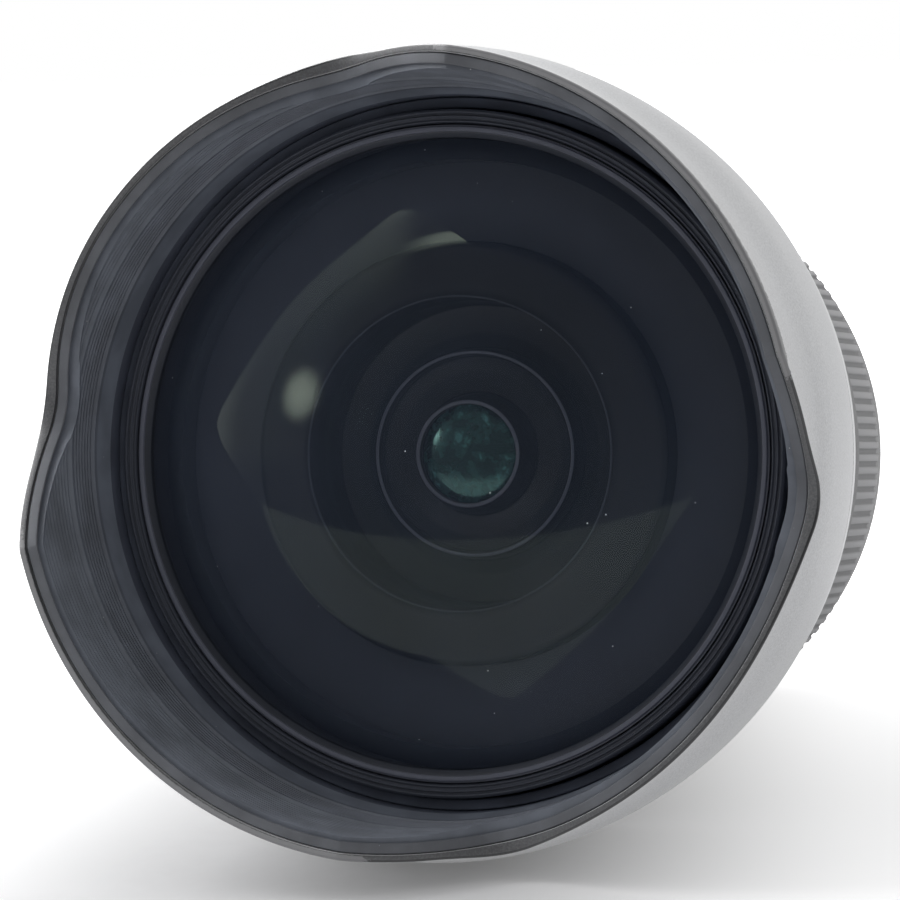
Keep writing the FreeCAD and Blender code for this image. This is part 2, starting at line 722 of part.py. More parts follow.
def front_cell():
    """Cell of the front element, with two fine ridges round its face."""
    bore_r = CELL_THREAD_R + SEAT
    shoulder_r = ELEMENT_R - CELL_LEDGE
    first = bore_r + CELL_RIDGE
    second = first + CELL_RIDGE_PITCH
    outline = [
        (CELL_REAR, bore_r),
        (CELL_REAR, CELL_R),
        (CELL_FRONT - CELL_CHAMFER, CELL_R),
        (CELL_FRONT, CELL_R - CELL_CHAMFER),
        (CELL_FRONT, second + CELL_RIDGE / 2),
        (CELL_FRONT + CELL_RIDGE, second),
        (CELL_FRONT, second - CELL_RIDGE / 2),
        (CELL_FRONT, first + CELL_RIDGE / 2),
        (CELL_FRONT + CELL_RIDGE, first),
        (CELL_FRONT, first - CELL_RIDGE / 2),
        (CELL_FRONT, bore_r),
        (DOME_FRONT_EDGE, bore_r),
        (DOME_FRONT_EDGE, ELEMENT_R + SEAT),
        (DOME_REAR_EDGE, ELEMENT_R + SEAT),
        (DOME_REAR_EDGE, shoulder_r),
        (FLANGE_FRONT, shoulder_r),
        (FLANGE_FRONT, bore_r),
    ]
    return turned(outline).cut(cell_screw_set(SEAT))


def cell_screw_set(room):
    """Screws through the carrier's flange into the front cell, or their holes."""
    circle_r = CELL_THREAD_R - SCREW_HEAD_R - 2 * SEAT
    return around(screw(CELL_REAR, circle_r, 0.0, AXIS, room), CELL_SCREW_COUNT, ROLLER_ANGLE)


def front_carrier():
    """Long carrier of the front group: flange in front, tail tube with rollers behind."""
    third_rear = THIRD_FRONT - THIRD_EDGE - LENS_RETAINER
    tail_bore_r = CARRIER_R - CARRIER_WALL
    holder_r = THIRD_R + SEAT + HOLDER_WALL
    outline = [
        (TAIL_REAR, tail_bore_r),
        (TAIL_REAR, CARRIER_R),
        (CELL_REAR, CARRIER_R),
        (CELL_REAR, CELL_THREAD_R),
        (FLANGE_FRONT, CELL_THREAD_R),
        (FLANGE_FRONT, SECOND_SEAT_R + SEAT),
        (SECOND_FRONT, SECOND_SEAT_R + SEAT),
        (SECOND_FRONT, SECOND_SEAT_R - HOLDER_WALL),
        (SECOND_REAR, SECOND_SEAT_R - HOLDER_WALL),
        (SECOND_REAR, THIRD_R - HOLDER_WALL),
        (THIRD_FRONT, THIRD_R - HOLDER_WALL),
        (THIRD_FRONT, THIRD_R + SEAT),
        (third_rear, THIRD_R + SEAT),
        (third_rear, holder_r),
        (THIRD_FRONT, holder_r),
        (THIRD_FRONT, tail_bore_r),
    ]
    return turned(outline).cut(cell_screw_set(SEAT) + roller_holes(FRONT_ROLLER))


def second_element():
    """Second lens element: a raised eye in a stepped rim, on a flange clamped by its mask."""
    front = SECOND_FRONT
    step_front = front + STEP_HEIGHT
    eye_front = front + EYE_RISE
    foot_r = THIRD_R - HOLDER_WALL - SEAT
    outline = [
        (SECOND_REAR - SECOND_FOOT, 0.0),
        (SECOND_REAR - SECOND_FOOT, foot_r),
        (SECOND_REAR, foot_r),
        (SECOND_REAR, SECOND_SEAT_R - HOLDER_WALL - SEAT),
        (front, SECOND_SEAT_R - HOLDER_WALL - SEAT),
        (front, MASK_BORE_R - STEP_WALL),
        (front - MOAT_DEPTH, MOAT_R),
        (front - MOAT_DEPTH / 2, STEP_R + 2 * STEP_WALL),
        (step_front, STEP_R + STEP_WALL / 2),
        (step_front, STEP_R - STEP_WALL / 2),
        (front + CUP_FLOOR, CUP_OUTER_R),
        (front + 2 * CUP_FLOOR, CUP_INNER_R),
        (eye_front, EYE_R + STEP_WALL),
        (eye_front, EYE_R),
        (eye_front - EYE_SAG, EYE_R),
        (eye_front - EYE_SAG, 0.0),
    ]
    eye = lens(front + EYE_SAG, eye_front - EYE_SAG, EYE_R, EYE_SAG, EYE_SAG)
    return turned(outline).fuse(eye).removeSplitter()


def second_retainer():
    """Hollow mask that clamps the second element: a shallow cone with a deep bore."""
    rim_r = SECOND_SEAT_R
    cone_rear = DOME_REAR_EDGE - MASK_LIP_RISE
    lip_front = DOME_REAR_EDGE + MASK_LIP_RISE
    outline = [
        (SECOND_FRONT, rim_r - HOLDER_WALL),
        (SECOND_FRONT, rim_r),
        (cone_rear, rim_r),
        (DOME_REAR_EDGE - FREE, rim_r - MASK_WALL),
        (lip_front - MASK_WALL / 2, MASK_BORE_R + MASK_WALL),
        (lip_front, MASK_BORE_R + STEP_WALL / 2),
        (lip_front, MASK_BORE_R),
        (SECOND_FRONT, MASK_BORE_R - STEP_WALL),
        (SECOND_FRONT, MASK_BORE_R - STEP_WALL + MASK_SKIRT),
        (lip_front - 2 * MASK_WALL, MASK_BORE_R + MASK_SKIRT),
        (cone_rear - MASK_WALL, rim_r - HOLDER_WALL),
    ]
    return turned(outline)


def third_element():
    """Third lens element, seated from behind."""
    rear = THIRD_FRONT - THIRD_EDGE
    inner_r = THIRD_R - HOLDER_WALL
    return lens(rear, THIRD_FRONT, THIRD_R, THIRD_FRONT_SAG, THIRD_REAR_SAG, inner_r, inner_r)


def third_retainer():
    """Ring that holds the third element."""
    front = THIRD_FRONT - THIRD_EDGE
    return tube(front - LENS_RETAINER, front, THIRD_R - HOLDER_WALL + SEAT, THIRD_R)


def rollers(station):
    """Cam rollers on their shanks, reaching through guide tube and cam tube."""
    head = radial_pin(ROLLER_R, CARRIER_R, CAM_R - 2 * SEAT, station)
    shank = radial_pin(ROLLER_SHANK_R, CARRIER_R - CARRIER_WALL + SEAT, CARRIER_R, station)
    return Part.makeCompound(around(head.fuse(shank), ROLLER_COUNT, ROLLER_ANGLE))


def roller_holes(station):
    """Holes in a carrier's wall for the rollers' shanks."""
    inner_r = CARRIER_R - CARRIER_WALL - OVERCUT
    hole = radial_pin(ROLLER_SHANK_R + SEAT, inner_r, CARRIER_R + OVERCUT, station)
    return around(hole, ROLLER_COUNT, ROLLER_ANGLE)


def variator_web_rear():
    """Station of the rear face of the web in the rear zoom group's carrier."""
    return VARIATOR_FRONT - iris_stack() - IRIS_PLATE - LENS_LEDGE


def iris_stack():
    """Depth of the blades, the drive ring and the cover in front of the base plate."""
    blades = IRIS_BLADE_COUNT * IRIS_BLADE_PITCH
    return blades + FREE + IRIS_PLATE + FREE + IRIS_PLATE


def iris_base_front():
    """Station of the front face of the iris base plate."""
    return VARIATOR_FRONT - iris_stack()


def iris_ring_rear():
    """Station of the rear face of the iris drive ring."""
    return iris_base_front() + IRIS_BLADE_COUNT * IRIS_BLADE_PITCH + FREE


def variator_carrier():
    """Carrier of the rear zoom group, with the iris in front of its web."""
    web_rear = variator_web_rear()
    web_front = web_rear + LENS_LEDGE
    bore_r = CARRIER_R - CARRIER_WALL
    holder_r = VARIATOR_LENS_R + SEAT + HOLDER_WALL
    outline = [
        (VARIATOR_REAR, bore_r),
        (VARIATOR_REAR, CARRIER_R),
        (VARIATOR_FRONT, CARRIER_R),
        (VARIATOR_FRONT, bore_r),
        (web_front, bore_r),
        (web_front, IRIS_OPEN_R),
        (web_rear, IRIS_OPEN_R),
        (web_rear, VARIATOR_LENS_R + SEAT),
        (VARIATOR_REAR, VARIATOR_LENS_R + SEAT),
        (VARIATOR_REAR, holder_r),
        (web_rear, holder_r),
        (web_rear, bore_r),
    ]
    return turned(outline).cut(roller_holes(REAR_ROLLER))


def variator_front_element():
    """Front lens of the rear zoom group."""
    front = variator_web_rear()
    sag = VARIATOR_LENS_SAG
    return lens(front - VARIATOR_LENS_EDGE, front, VARIATOR_LENS_R, sag, -sag, IRIS_OPEN_R, IRIS_OPEN_R)


def variator_rear_element():
    """Rear lens of the rear zoom group, against a spacer."""
    front = variator_web_rear() - VARIATOR_LENS_EDGE
    sag = VARIATOR_LENS_SAG
    rear = VARIATOR_REAR + FREE
    return lens(rear, front, VARIATOR_LENS_R, -sag, sag, IRIS_OPEN_R, IRIS_OPEN_R)


def iris_pivot_r():
    """Radius of the circle of blade pivots."""
    return IRIS_OPEN_R + IRIS_BLADE_WIDTH + IRIS_PIN_R + FREE + SEAT


def iris_base():
    """Fixed plate that the iris blades pivot on."""
    front = iris_base_front()
    rear = front - IRIS_PLATE
    plate = tube(rear, front, IRIS_OPEN_R, CARRIER_R - CARRIER_WALL - SEAT)
    hole = axial_pin(IRIS_PIN_R + RUN, rear - OVERCUT, front + OVERCUT, iris_pivot_r(), 0.0)
    return plate.cut(around(hole, IRIS_BLADE_COUNT))


def iris_blade(index):
    """Curved leaf with a pivot pin behind and a drive pin in front, shown fully open."""
    rear = iris_base_front() + FREE / 2 + IRIS_BLADE_PITCH * index
    front = rear + IRIS_BLADE_THICKNESS
    outer_r = IRIS_OPEN_R + IRIS_BLADE_WIDTH
    leaf = sector(rear, front, IRIS_OPEN_R, outer_r, -IRIS_HEEL_ANGLE, IRIS_BLADE_ANGLE)
    tab_reach = iris_pivot_r() + IRIS_LEVER + IRIS_PIN_R + SEAT
    half = 2 * IRIS_PIN_R
    tab_start = IRIS_OPEN_R + IRIS_BLADE_WIDTH / 2
    corner = FreeCAD.Vector(tab_start, -half, rear)
    tab = Part.makeBox(tab_reach - tab_start, 2 * half, IRIS_BLADE_THICKNESS, corner)
    pivot = axial_pin(IRIS_PIN_R, iris_base_front() - IRIS_PLATE, front, iris_pivot_r(), 0.0)
    drive = axial_pin(IRIS_PIN_R, rear, iris_ring_rear() + IRIS_PLATE, iris_pivot_r() + IRIS_LEVER, 0.0)
    blade = leaf.fuse([tab, pivot, drive]).removeSplitter()
    return turn_to(blade, FULL_TURN * index / IRIS_BLADE_COUNT)


def iris_ring_turn():
    """Turn of the drive ring that closes the blades by IRIS_CLOSE."""
    angle = math.radians(IRIS_CLOSE)
    reach = iris_pivot_r() + IRIS_LEVER * math.cos(angle)
    return math.degrees(math.atan2(IRIS_LEVER * math.sin(angle), reach))


def iris_ring():
    """Drive ring whose short radial slots push the blades' pins."""
    rear = iris_ring_rear()
    front = rear + IRIS_PLATE
    outer_r = CARRIER_R - CARRIER_WALL - RUN
    far = iris_pivot_r() + IRIS_LEVER
    near = far - IRIS_LEVER * (1 - math.cos(math.radians(IRIS_CLOSE))) - SEAT
    half = IRIS_PIN_R + RUN
    corner = FreeCAD.Vector(near, -half, rear - FREE)
    slot = Part.makeBox(far - near, 2 * half, IRIS_PLATE + 2 * FREE, corner)
    ends = [axial_pin(half, rear - FREE, front + FREE, r, 0.0) for r in (near, far)]
    body = tube(rear, front, iris_pivot_r() + IRIS_PIN_R + FREE, outer_r)
    return body.cut(around(slot.fuse(ends), IRIS_BLADE_COUNT))


def iris_cover():
    """Thin plate that keeps the iris ring and the blades in the carrier."""
    front = VARIATOR_FRONT
    return tube(front - IRIS_PLATE, front, IRIS_OPEN_R, CARRIER_R - CARRIER_WALL - SEAT)


def rear_outer_r(station):
    """Outside radius of the rear barrel: a taper from the mount to a short cylinder."""
    share = (station - MOUNT_PLATE) / (REAR_TAPER_FRONT - MOUNT_PLATE)
    return GASKET_R + (SLEEVE_R - GASKET_R) * min(1.0, share)


def rear_inner_cone():
    """Space inside the rear barrel's tapered wall."""
    front = REAR_WEB_REAR
    outline = [
        (FRAME_REAR, 0.0),
        (FRAME_REAR, rear_outer_r(FRAME_REAR) - REAR_BARREL_WALL),
        (front, rear_outer_r(front) - REAR_BARREL_WALL),
        (front, 0.0),
    ]
    return turned(outline)


def rear_barrel():
    """Rear barrel: mount flange behind, web for the mechanism, bearing for the zoom ring."""
    bearing_front = ZOOM_REAR + BEARING_LENGTH
    outline = [
        (MOUNT_PLATE, REAR_FLANGE_BORE_R),
        (MOUNT_PLATE, GASKET_R),
        (REAR_TAPER_FRONT, SLEEVE_R),
        (REAR_BARREL_FRONT, SLEEVE_R),
        (REAR_BARREL_FRONT, BEARING_R),
        (bearing_front, BEARING_R),
        (bearing_front, BEARING_BORE_R),
        (REAR_WEB_FRONT, BEARING_BORE_R),
        (REAR_WEB_FRONT, REAR_WEB_BORE_R),
        (REAR_WEB_REAR, REAR_WEB_BORE_R),
        (REAR_WEB_REAR, rear_outer_r(REAR_WEB_REAR) - REAR_BARREL_WALL),
        (FRAME_REAR, rear_outer_r(FRAME_REAR) - REAR_BARREL_WALL),
        (FRAME_REAR, REAR_FLANGE_BORE_R),
    ]
    cuts = mount_screw_set(SEAT) + rear_screw_set(SEAT)
    rear = REAR_WEB_REAR - OVERCUT
    front = REAR_WEB_FRONT + OVERCUT
    cuts += [axial_pin(ROD_R + SEAT, rear, front, ROD_CIRCLE_R, angle) for angle in ROD_ANGLES]
    cuts.append(axial_pin(LEAD_SCREW_R + RUN, rear, front, SCREW_CIRCLE_R, DRIVE_ANGLE))
    cuts += [switch_window(station) for station in switch_stations()]
    cuts += [button_room(), index_bead_shape(SEAT)]
    return turned(outline).cut(cuts)


def rear_screw_set(room):
    """Screws from the rear barrel's web into the guide tube, or their holes."""
    return around(screw(REAR_WEB_REAR, GUIDE_R, 0.0, AXIS, room), REAR_SCREW_COUNT, TOP_ANGLE)


def mount_screw_set(room):
    """Screws that hold the bayonet ring to the rear barrel, or their holes."""
    half_step = FULL_TURN / MOUNT_SCREW_COUNT / 2
    one = screw(0.0, MOUNT_SCREW_CIRCLE_R, 0.0, AXIS, room)
    return around(one, MOUNT_SCREW_COUNT, TOP_ANGLE + half_step)


def mount_ring():
    """Metal bayonet ring with three lugs."""
    outline = [
        (-SPIGOT_LENGTH, SPIGOT_BORE_R),
        (-SPIGOT_LENGTH, SPIGOT_R),
        (0.0, SPIGOT_R),
        (0.0, MOUNT_R),
        (MOUNT_PLATE, MOUNT_R),
        (MOUNT_PLATE, BAFFLE_STEP_R),
        (MOUNT_PLATE - BAFFLE_THICKNESS, BAFFLE_STEP_R),
        (MOUNT_PLATE - BAFFLE_THICKNESS, SPIGOT_BORE_R),
    ]
    rear = -LUG_SETBACK - LUG_THICKNESS
    middle_r = (SPIGOT_BORE_R + SPIGOT_R) / 2
    lug = sector(rear, -LUG_SETBACK, middle_r, SPIGOT_R + LUG_REACH, -LUG_SPAN / 2, LUG_SPAN)
    body = turned(outline).fuse(around(lug, LUG_COUNT, TOP_ANGLE))
    return body.cut(mount_screw_set(SEAT))


def mount_gasket():
    """Rubber ring round the mount, with a lip that reaches past the seat."""
    outline = [
        (-GASKET_LIP, GASKET_R - GASKET_WALL / 2),
        (-GASKET_LIP, GASKET_R),
        (MOUNT_PLATE, GASKET_R),
        (MOUNT_PLATE, MOUNT_R + SEAT),
        (0.0, MOUNT_R + SEAT),
    ]
    return turned(outline)


def index_bead_shape(room):
    """Round bead that marks the top of the mount, or its seat when room is added."""
    station = MOUNT_PLATE + 2 * INDEX_BEAD_R
    surface = rear_outer_r(station)
    foot = surface - REAR_BARREL_WALL / 2 - room
    return radial_pin(INDEX_BEAD_R + room, foot, surface + INDEX_BEAD_PROUD, station, TOP_ANGLE)


def rear_baffle():
    """Black plate with a rectangular window in the throat of the mount."""
    rear = MOUNT_PLATE - BAFFLE_THICKNESS
    plate = disc(rear, MOUNT_PLATE, BAFFLE_STEP_R - SEAT)
    corner = FreeCAD.Vector(-REAR_WINDOW_WIDTH / 2, -REAR_WINDOW_HEIGHT / 2, rear - OVERCUT)
    depth = BAFFLE_THICKNESS + 2 * OVERCUT
    window = Part.makeBox(REAR_WINDOW_WIDTH, REAR_WINDOW_HEIGHT, depth, corner)
    return plate.cut(turn_to(window, TOP_ANGLE - 90.0))


def contact_angles():
    """Angles of the contact pins, on the lower side of the throat."""
    middle = TOP_ANGLE + 180.0
    return [middle + CONTACT_PITCH * (i - (CONTACT_COUNT - 1) / 2) for i in range(CONTACT_COUNT)]


def contact_block():
    """Insulating block for the contact pins, inside the throat."""
    outer_r = SPIGOT_BORE_R - SEAT
    span = CONTACT_PITCH * (CONTACT_COUNT + 1)
    start = TOP_ANGLE + 180.0 - span / 2
    rear = -SPIGOT_LENGTH + CONTACT_BLOCK_SETBACK
    front = MOUNT_PLATE - BAFFLE_THICKNESS
    block = sector(rear, front, outer_r - CONTACT_BLOCK_WALL, outer_r, start, span)
    return block.cut([contact_pin(a, SEAT) for a in contact_angles()])


def contact_pin(angle, room):
    """One contact pin, or its hole when room is added."""
    circle_r = SPIGOT_BORE_R - SEAT - CONTACT_BLOCK_WALL / 2
    rear = -SPIGOT_LENGTH + CONTACT_BLOCK_SETBACK - CONTACT_PROUD
    front = -CONTACT_BLOCK_SETBACK
    return axial_pin(CONTACT_PIN_R + room, rear, front + room, circle_r, angle)


def contact_pins():
    """Row of contact pins."""
    return Part.makeCompound([contact_pin(a, 0.0) for a in contact_angles()])


def rear_frame():
    """Disc in the rear barrel that carries the rear lens, the rods, the motor and the board."""
    front = FRAME_REAR + FRAME_THICKNESS
    holder_r = REAR_LENS_R + SEAT + HOLDER_WALL
    lens_front = rear_lens_front()
    outer_r = rear_outer_r(FRAME_REAR) - REAR_BARREL_WALL - SEAT
    outline = [
        (MOUNT_PLATE + FREE, REAR_LENS_R + SEAT),
        (MOUNT_PLATE + FREE, holder_r),
        (FRAME_REAR, holder_r),
        (FRAME_REAR, outer_r),
        (front, outer_r),
        (front, holder_r),
        (lens_front + LENS_LEDGE, holder_r),
        (lens_front + LENS_LEDGE, REAR_LENS_R - HOLDER_WALL),
        (lens_front, REAR_LENS_R - HOLDER_WALL),
        (lens_front, REAR_LENS_R + SEAT),
    ]
    post_r = (board_inner_r() + board_outer_r()) / 2
    post = axial_pin(BOARD_POST_R, front, front + BOARD_STAND, post_r, 0.0)
    body = turned(outline).fuse([turn_to(post, angle) for angle in board_post_angles()])
    hole = axial_pin(ROD_R + SEAT, FRAME_REAR + FRAME_THICKNESS / 2, front + OVERCUT, ROD_CIRCLE_R, 0.0)
    return body.cut([turn_to(hole, angle) for angle in ROD_ANGLES])


def rear_lens_front():
    """Station of the front edge of the rear lens."""
    return MOUNT_PLATE + FREE + LENS_RETAINER + REAR_LENS_EDGE


def rear_element():
    """Rear lens element."""
    front = rear_lens_front()
    clear_r = REAR_LENS_R - HOLDER_WALL
    sag = REAR_LENS_SAG
    return lens(front - REAR_LENS_EDGE, front, REAR_LENS_R, sag, sag, clear_r, clear_r)


def rear_retainer():
    """Ring that holds the rear lens."""
    rear = MOUNT_PLATE + FREE
    return tube(rear, rear + LENS_RETAINER, REAR_LENS_R - HOLDER_WALL + SEAT, REAR_LENS_R)


def board_inner_r():
    """Inner radius of the circuit board, clear of the rear lens's holder."""
    return REAR_LENS_R + SEAT + HOLDER_WALL + 3 * FREE


def board_outer_r():
    """Outer radius of the circuit board, clear of the rear barrel's wall."""
    return rear_outer_r(FRAME_REAR + FRAME_THICKNESS + BOARD_STAND) - REAR_BARREL_WALL - FREE


def board_post_angles():
    """Angles of the board's posts."""
    step = (BOARD_SPAN - 2 * BOARD_POST_INSET) / (BOARD_POST_COUNT - 1)
    return [BOARD_START + BOARD_POST_INSET + step * i for i in range(BOARD_POST_COUNT)]


def main_board():
    """Circuit board, an arc-shaped plate with a few chips."""
    rear = FRAME_REAR + FRAME_THICKNESS + BOARD_STAND
    front = rear + BOARD_THICKNESS
    plate = sector(rear, front, board_inner_r(), board_outer_r(), BOARD_START, BOARD_SPAN)
    middle_r = (board_inner_r() + board_outer_r()) / 2
    step = BOARD_SPAN / CHIP_COUNT
    chips = []
    for i in range(CHIP_COUNT):
        width = CHIP_WIDTH + CHIP_GROWTH * i
        corner = FreeCAD.Vector(middle_r - width / 2, -width / 2, front)
        chip = Part.makeBox(width, width, CHIP_HEIGHT, corner)
        chips.append(turn_to(chip, BOARD_START + step * (i + 0.5)))
    return plate.fuse(chips)


def guide_rods():
    """Two polished rods that the focus cell slides on."""
    rear = FRAME_REAR + FRAME_THICKNESS / 2
    rods = [axial_pin(ROD_R, rear, REAR_WEB_FRONT, ROD_CIRCLE_R, angle) for angle in ROD_ANGLES]
    return Part.makeCompound(rods)


def focus_motor():
    """Small motor that turns the lead screw."""
    rear = FRAME_REAR + FRAME_THICKNESS
    return axial_pin(MOTOR_R, rear, rear + MOTOR_LENGTH, SCREW_CIRCLE_R, DRIVE_ANGLE)


def lead_screw():
    """Screw that moves the focus cell; its tip turns in the rear barrel's web."""
    rear = FRAME_REAR + FRAME_THICKNESS + MOTOR_LENGTH + FREE
    return axial_pin(LEAD_SCREW_R, rear, REAR_WEB_FRONT, SCREW_CIRCLE_R, DRIVE_ANGLE)


def focus_cell():
    """Light cell for the focus lens, with two bushes and a nut."""
    front = FOCUS_REAR + FOCUS_CELL_LENGTH
    bore_r = FOCUS_LENS_R + SEAT
    hub_r = bore_r + HOLDER_WALL
    lens_front = FOCUS_REAR + FREE + FOCUS_LENS_EDGE
    outline = [
        (FOCUS_REAR, bore_r),
        (FOCUS_REAR, hub_r),
        (front, hub_r),
        (front, bore_r - HOLDER_WALL),
        (lens_front, bore_r - HOLDER_WALL),
        (lens_front, bore_r),
    ]
    ears = []
    bores = []
    ear_front = FOCUS_REAR + FOCUS_EAR_LENGTH
    spots = [(ROD_CIRCLE_R, ROD_R, a) for a in ROD_ANGLES]
    spots.append((SCREW_CIRCLE_R, LEAD_SCREW_R, DRIVE_ANGLE))
    for circle_r, pin_r, angle in spots:
        eye_r = pin_r + FOCUS_EAR_WALL
        eye = axial_pin(eye_r, FOCUS_REAR, ear_front, circle_r, angle)
        middle_r = bore_r + HOLDER_WALL / 2
        corner = FreeCAD.Vector(middle_r, -eye_r, FOCUS_REAR)
        arm = Part.makeBox(circle_r - middle_r, 2 * eye_r, ear_front - FOCUS_REAR, corner)
        ears += [eye, turn_to(arm, angle)]
        bores.append(axial_pin(pin_r + RUN, FOCUS_REAR - OVERCUT, ear_front + OVERCUT, circle_r, angle))
    return turned(outline).fuse(ears).cut(bores).removeSplitter()


def focus_element():
    """Focus lens element."""
    rear = FOCUS_REAR + FREE
    clear_r = FOCUS_LENS_R - HOLDER_WALL
    front = rear + FOCUS_LENS_EDGE
    return lens(rear, front, FOCUS_LENS_R, FOCUS_LENS_SAG, -FOCUS_LENS_SAG, clear_r, clear_r)


def taper_angle():
    """Slope of the rear barrel's outside."""
    return math.degrees(math.atan2(SLEEVE_R - GASKET_R, REAR_TAPER_FRONT - MOUNT_PLATE))


def on_taper(shape, station, angle):
    """Place a shape made about the origin, its Z outward and its X forward, on the taper."""
    across = FreeCAD.Vector(0, 1, 0)
    copy = shape.copy()
    copy.rotate(ORIGIN, across, 90.0)
    copy.rotate(ORIGIN, FreeCAD.Vector(1, 0, 0), 180.0)
    copy.rotate(ORIGIN, across, taper_angle())
    copy.translate(FreeCAD.Vector(rear_outer_r(station), 0, station))
    return turn_to(copy, angle)


def centred_box(length, width, low, high, shift=0.0):
    """Box about the origin: length along X, width along Y, between two heights."""
    corner = FreeCAD.Vector(-length / 2, -width / 2 + shift, low)
    return Part.makeBox(length, width, high - low, corner)


def upright_pin(radius, low, high):
    """Round pin about the origin, between two heights."""
    return Part.makeCylinder(radius, high - low, FreeCAD.Vector(0, 0, low))


def switch_stations():
    """Stations of the two slide switches."""
    return [PANEL_MID - SWITCH_SPACING / 2, PANEL_MID + SWITCH_SPACING / 2]


def switch_window(station):
    """Slot through the panel and the barrel's wall for one switch's stem."""
    width = SWITCH_STEM_WIDTH + SWITCH_TRAVEL + 2 * FREE
    top = PANEL_THICKNESS + OVERCUT
    room = centred_box(SWITCH_STEM_LENGTH + 2 * FREE, width, -REAR_BARREL_WALL - 2 * OVERCUT, top)
    return on_taper(room, station, PANEL_ANGLE)


def switch_panel():
    """Curved plate on the side of the rear barrel that the switches sit in."""
    rear = PANEL_MID - PANEL_LENGTH / 2
    front = PANEL_MID + PANEL_LENGTH / 2
    corners = [
        (rear, rear_outer_r(rear)),
        (rear, rear_outer_r(rear) + PANEL_THICKNESS),
        (front, rear_outer_r(front) + PANEL_THICKNESS),
        (front, rear_outer_r(front)),
    ]
    points = [FreeCAD.Vector(radius, 0, station) for station, radius in corners]
    face = Part.Face(Part.makePolygon(points + points[:1]))
    plate = turn_to(face.revolve(ORIGIN, AXIS, PANEL_SPAN), PANEL_ANGLE - PANEL_SPAN / 2)
    return plate.cut([switch_window(station) for station in switch_stations()])


def switch_knob(station):
    """Slide switch at one end of its travel, with its stem through the wall."""
    shift = -SWITCH_TRAVEL / 2
    base = PANEL_THICKNESS + FREE / 2
    cap = centred_box(SWITCH_CAP_LENGTH, SWITCH_CAP_WIDTH, base, base + SWITCH_CAP_HEIGHT, shift)
    foot = -REAR_BARREL_WALL - FREE
    stem = centred_box(SWITCH_STEM_LENGTH, SWITCH_STEM_WIDTH, foot, base, shift)
    return on_taper(cap.fuse(stem).removeSplitter(), station, PANEL_ANGLE)


def button_room():
    """Pocket in the barrel's wall for the button and a hole for its stem."""
    pocket = upright_pin(BUTTON_R + RUN, -BUTTON_POCKET, BUTTON_PROUD + OVERCUT)
    hole = upright_pin(BUTTON_STEM_R + RUN, -REAR_BARREL_WALL - 2 * OVERCUT, OVERCUT)
    return on_taper(pocket.fuse(hole), BUTTON_STATION, BUTTON_ANGLE)


def hold_button():
    """Push button that holds the focus; its stem meets a contact inside."""
    bottom = -BUTTON_POCKET + BUTTON_TRAVEL + FREE / 2
    cap = upright_pin(BUTTON_R, bottom, BUTTON_PROUD)
    foot = -BRACKET_DEPTH + BRACKET_FOOT + BUTTON_TRAVEL + FREE / 2
    stem = upright_pin(BUTTON_STEM_R, foot, bottom)
    return on_taper(cap.fuse(stem).removeSplitter(), BUTTON_STATION, BUTTON_ANGLE)


def button_bracket():
    """Bridge under the button that carries its contact, fixed inside the barrel's wall."""
    block = centred_box(BRACKET_LENGTH, BRACKET_WIDTH, -BRACKET_DEPTH, 0.0)
    gap = BRACKET_WIDTH - 2 * BRACKET_LEG
    room = centred_box(BRACKET_LENGTH + OVERCUT, gap, -BRACKET_DEPTH + BRACKET_FOOT, OVERCUT)
    bridge = on_taper(block.cut(room), BUTTON_STATION, BUTTON_ANGLE)
    return bridge.common(rear_inner_cone())


def lay_down(shape):
    """Turn a piece from its making position to the lens's own frame."""
    copy = shape.copy()
    copy.rotate(ORIGIN, FreeCAD.Vector(1, 0, 0), 90.0)
    return copy


def build():
    """All pieces by name, with the optical axis along Z."""
    cutters = petal_cutters()
    pieces = {
        "hood_shell": hood_shell(cutters),
        "hood_liner": hood_liner(cutters),
        "front_barrel": front_barrel(),
        "front_screws": Part.makeCompound(front_screw_set(0.0)),
        "middle_barrel": middle_barrel(),
        "guide_tube": guide_tube(),
        "cam_snap_ring": cam_snap_ring(),
        "rear_barrel": rear_barrel(),
        "rear_screws": Part.makeCompound(rear_screw_set(0.0)),
        "mount_ring": mount_ring(),
        "mount_screws": Part.makeCompound(mount_screw_set(0.0)),
        "mount_gasket": mount_gasket(),
        "index_bead": index_bead_shape(0.0),
        "rear_baffle": rear_baffle(),
        "contact_block": contact_block(),
        "contact_pins": contact_pins(),
        "rear_frame": rear_frame(),
        "rear_element": rear_element(),
        "rear_retainer": rear_retainer(),
        "main_board": main_board(),
        "guide_rods": guide_rods(),
        "focus_motor": focus_motor(),
        "switch_panel": switch_panel(),
        "button_bracket": button_bracket(),
        "zoom_sleeve": zoom_sleeve(),
        "zoom_grip": zoom_grip(),
        "zoom_key": zoom_key(),
        "cam_tube": cam_tube(),
        "focus_sleeve": focus_sleeve(),
        "focus_grip": focus_grip(),
        "front_element": front_element(),
        "front_retainer": front_retainer(),
        "front_cell": front_cell(),
        "cell_screws": Part.makeCompound(cell_screw_set(0.0)),
        "front_carrier": front_carrier(),
        "front_rollers": rollers(FRONT_ROLLER),
        "second_element": second_element(),
        "second_retainer": second_retainer(),
        "third_element": third_element(),
        "third_retainer": third_retainer(),
        "variator_carrier": variator_carrier(),
        "variator_rollers": rollers(REAR_ROLLER),
        "variator_front_element": variator_front_element(),
        "variator_rear_element": variator_rear_element(),
        "iris_base": iris_base(),
        "iris_cover": iris_cover(),
        "iris_ring": iris_ring(),
        "focus_cell": focus_cell(),
        "focus_element": focus_element(),
        "lead_screw": lead_screw(),
        "hold_button": hold_button(),
    }
    names = ("focus_switch", "range_switch")
    for name, station in zip(names, switch_stations()):
        pieces[name] = switch_knob(station)
    for index in range(IRIS_BLADE_COUNT):
        pieces[f"iris_blade_{index + 1}"] = iris_blade(index)
    return pieces


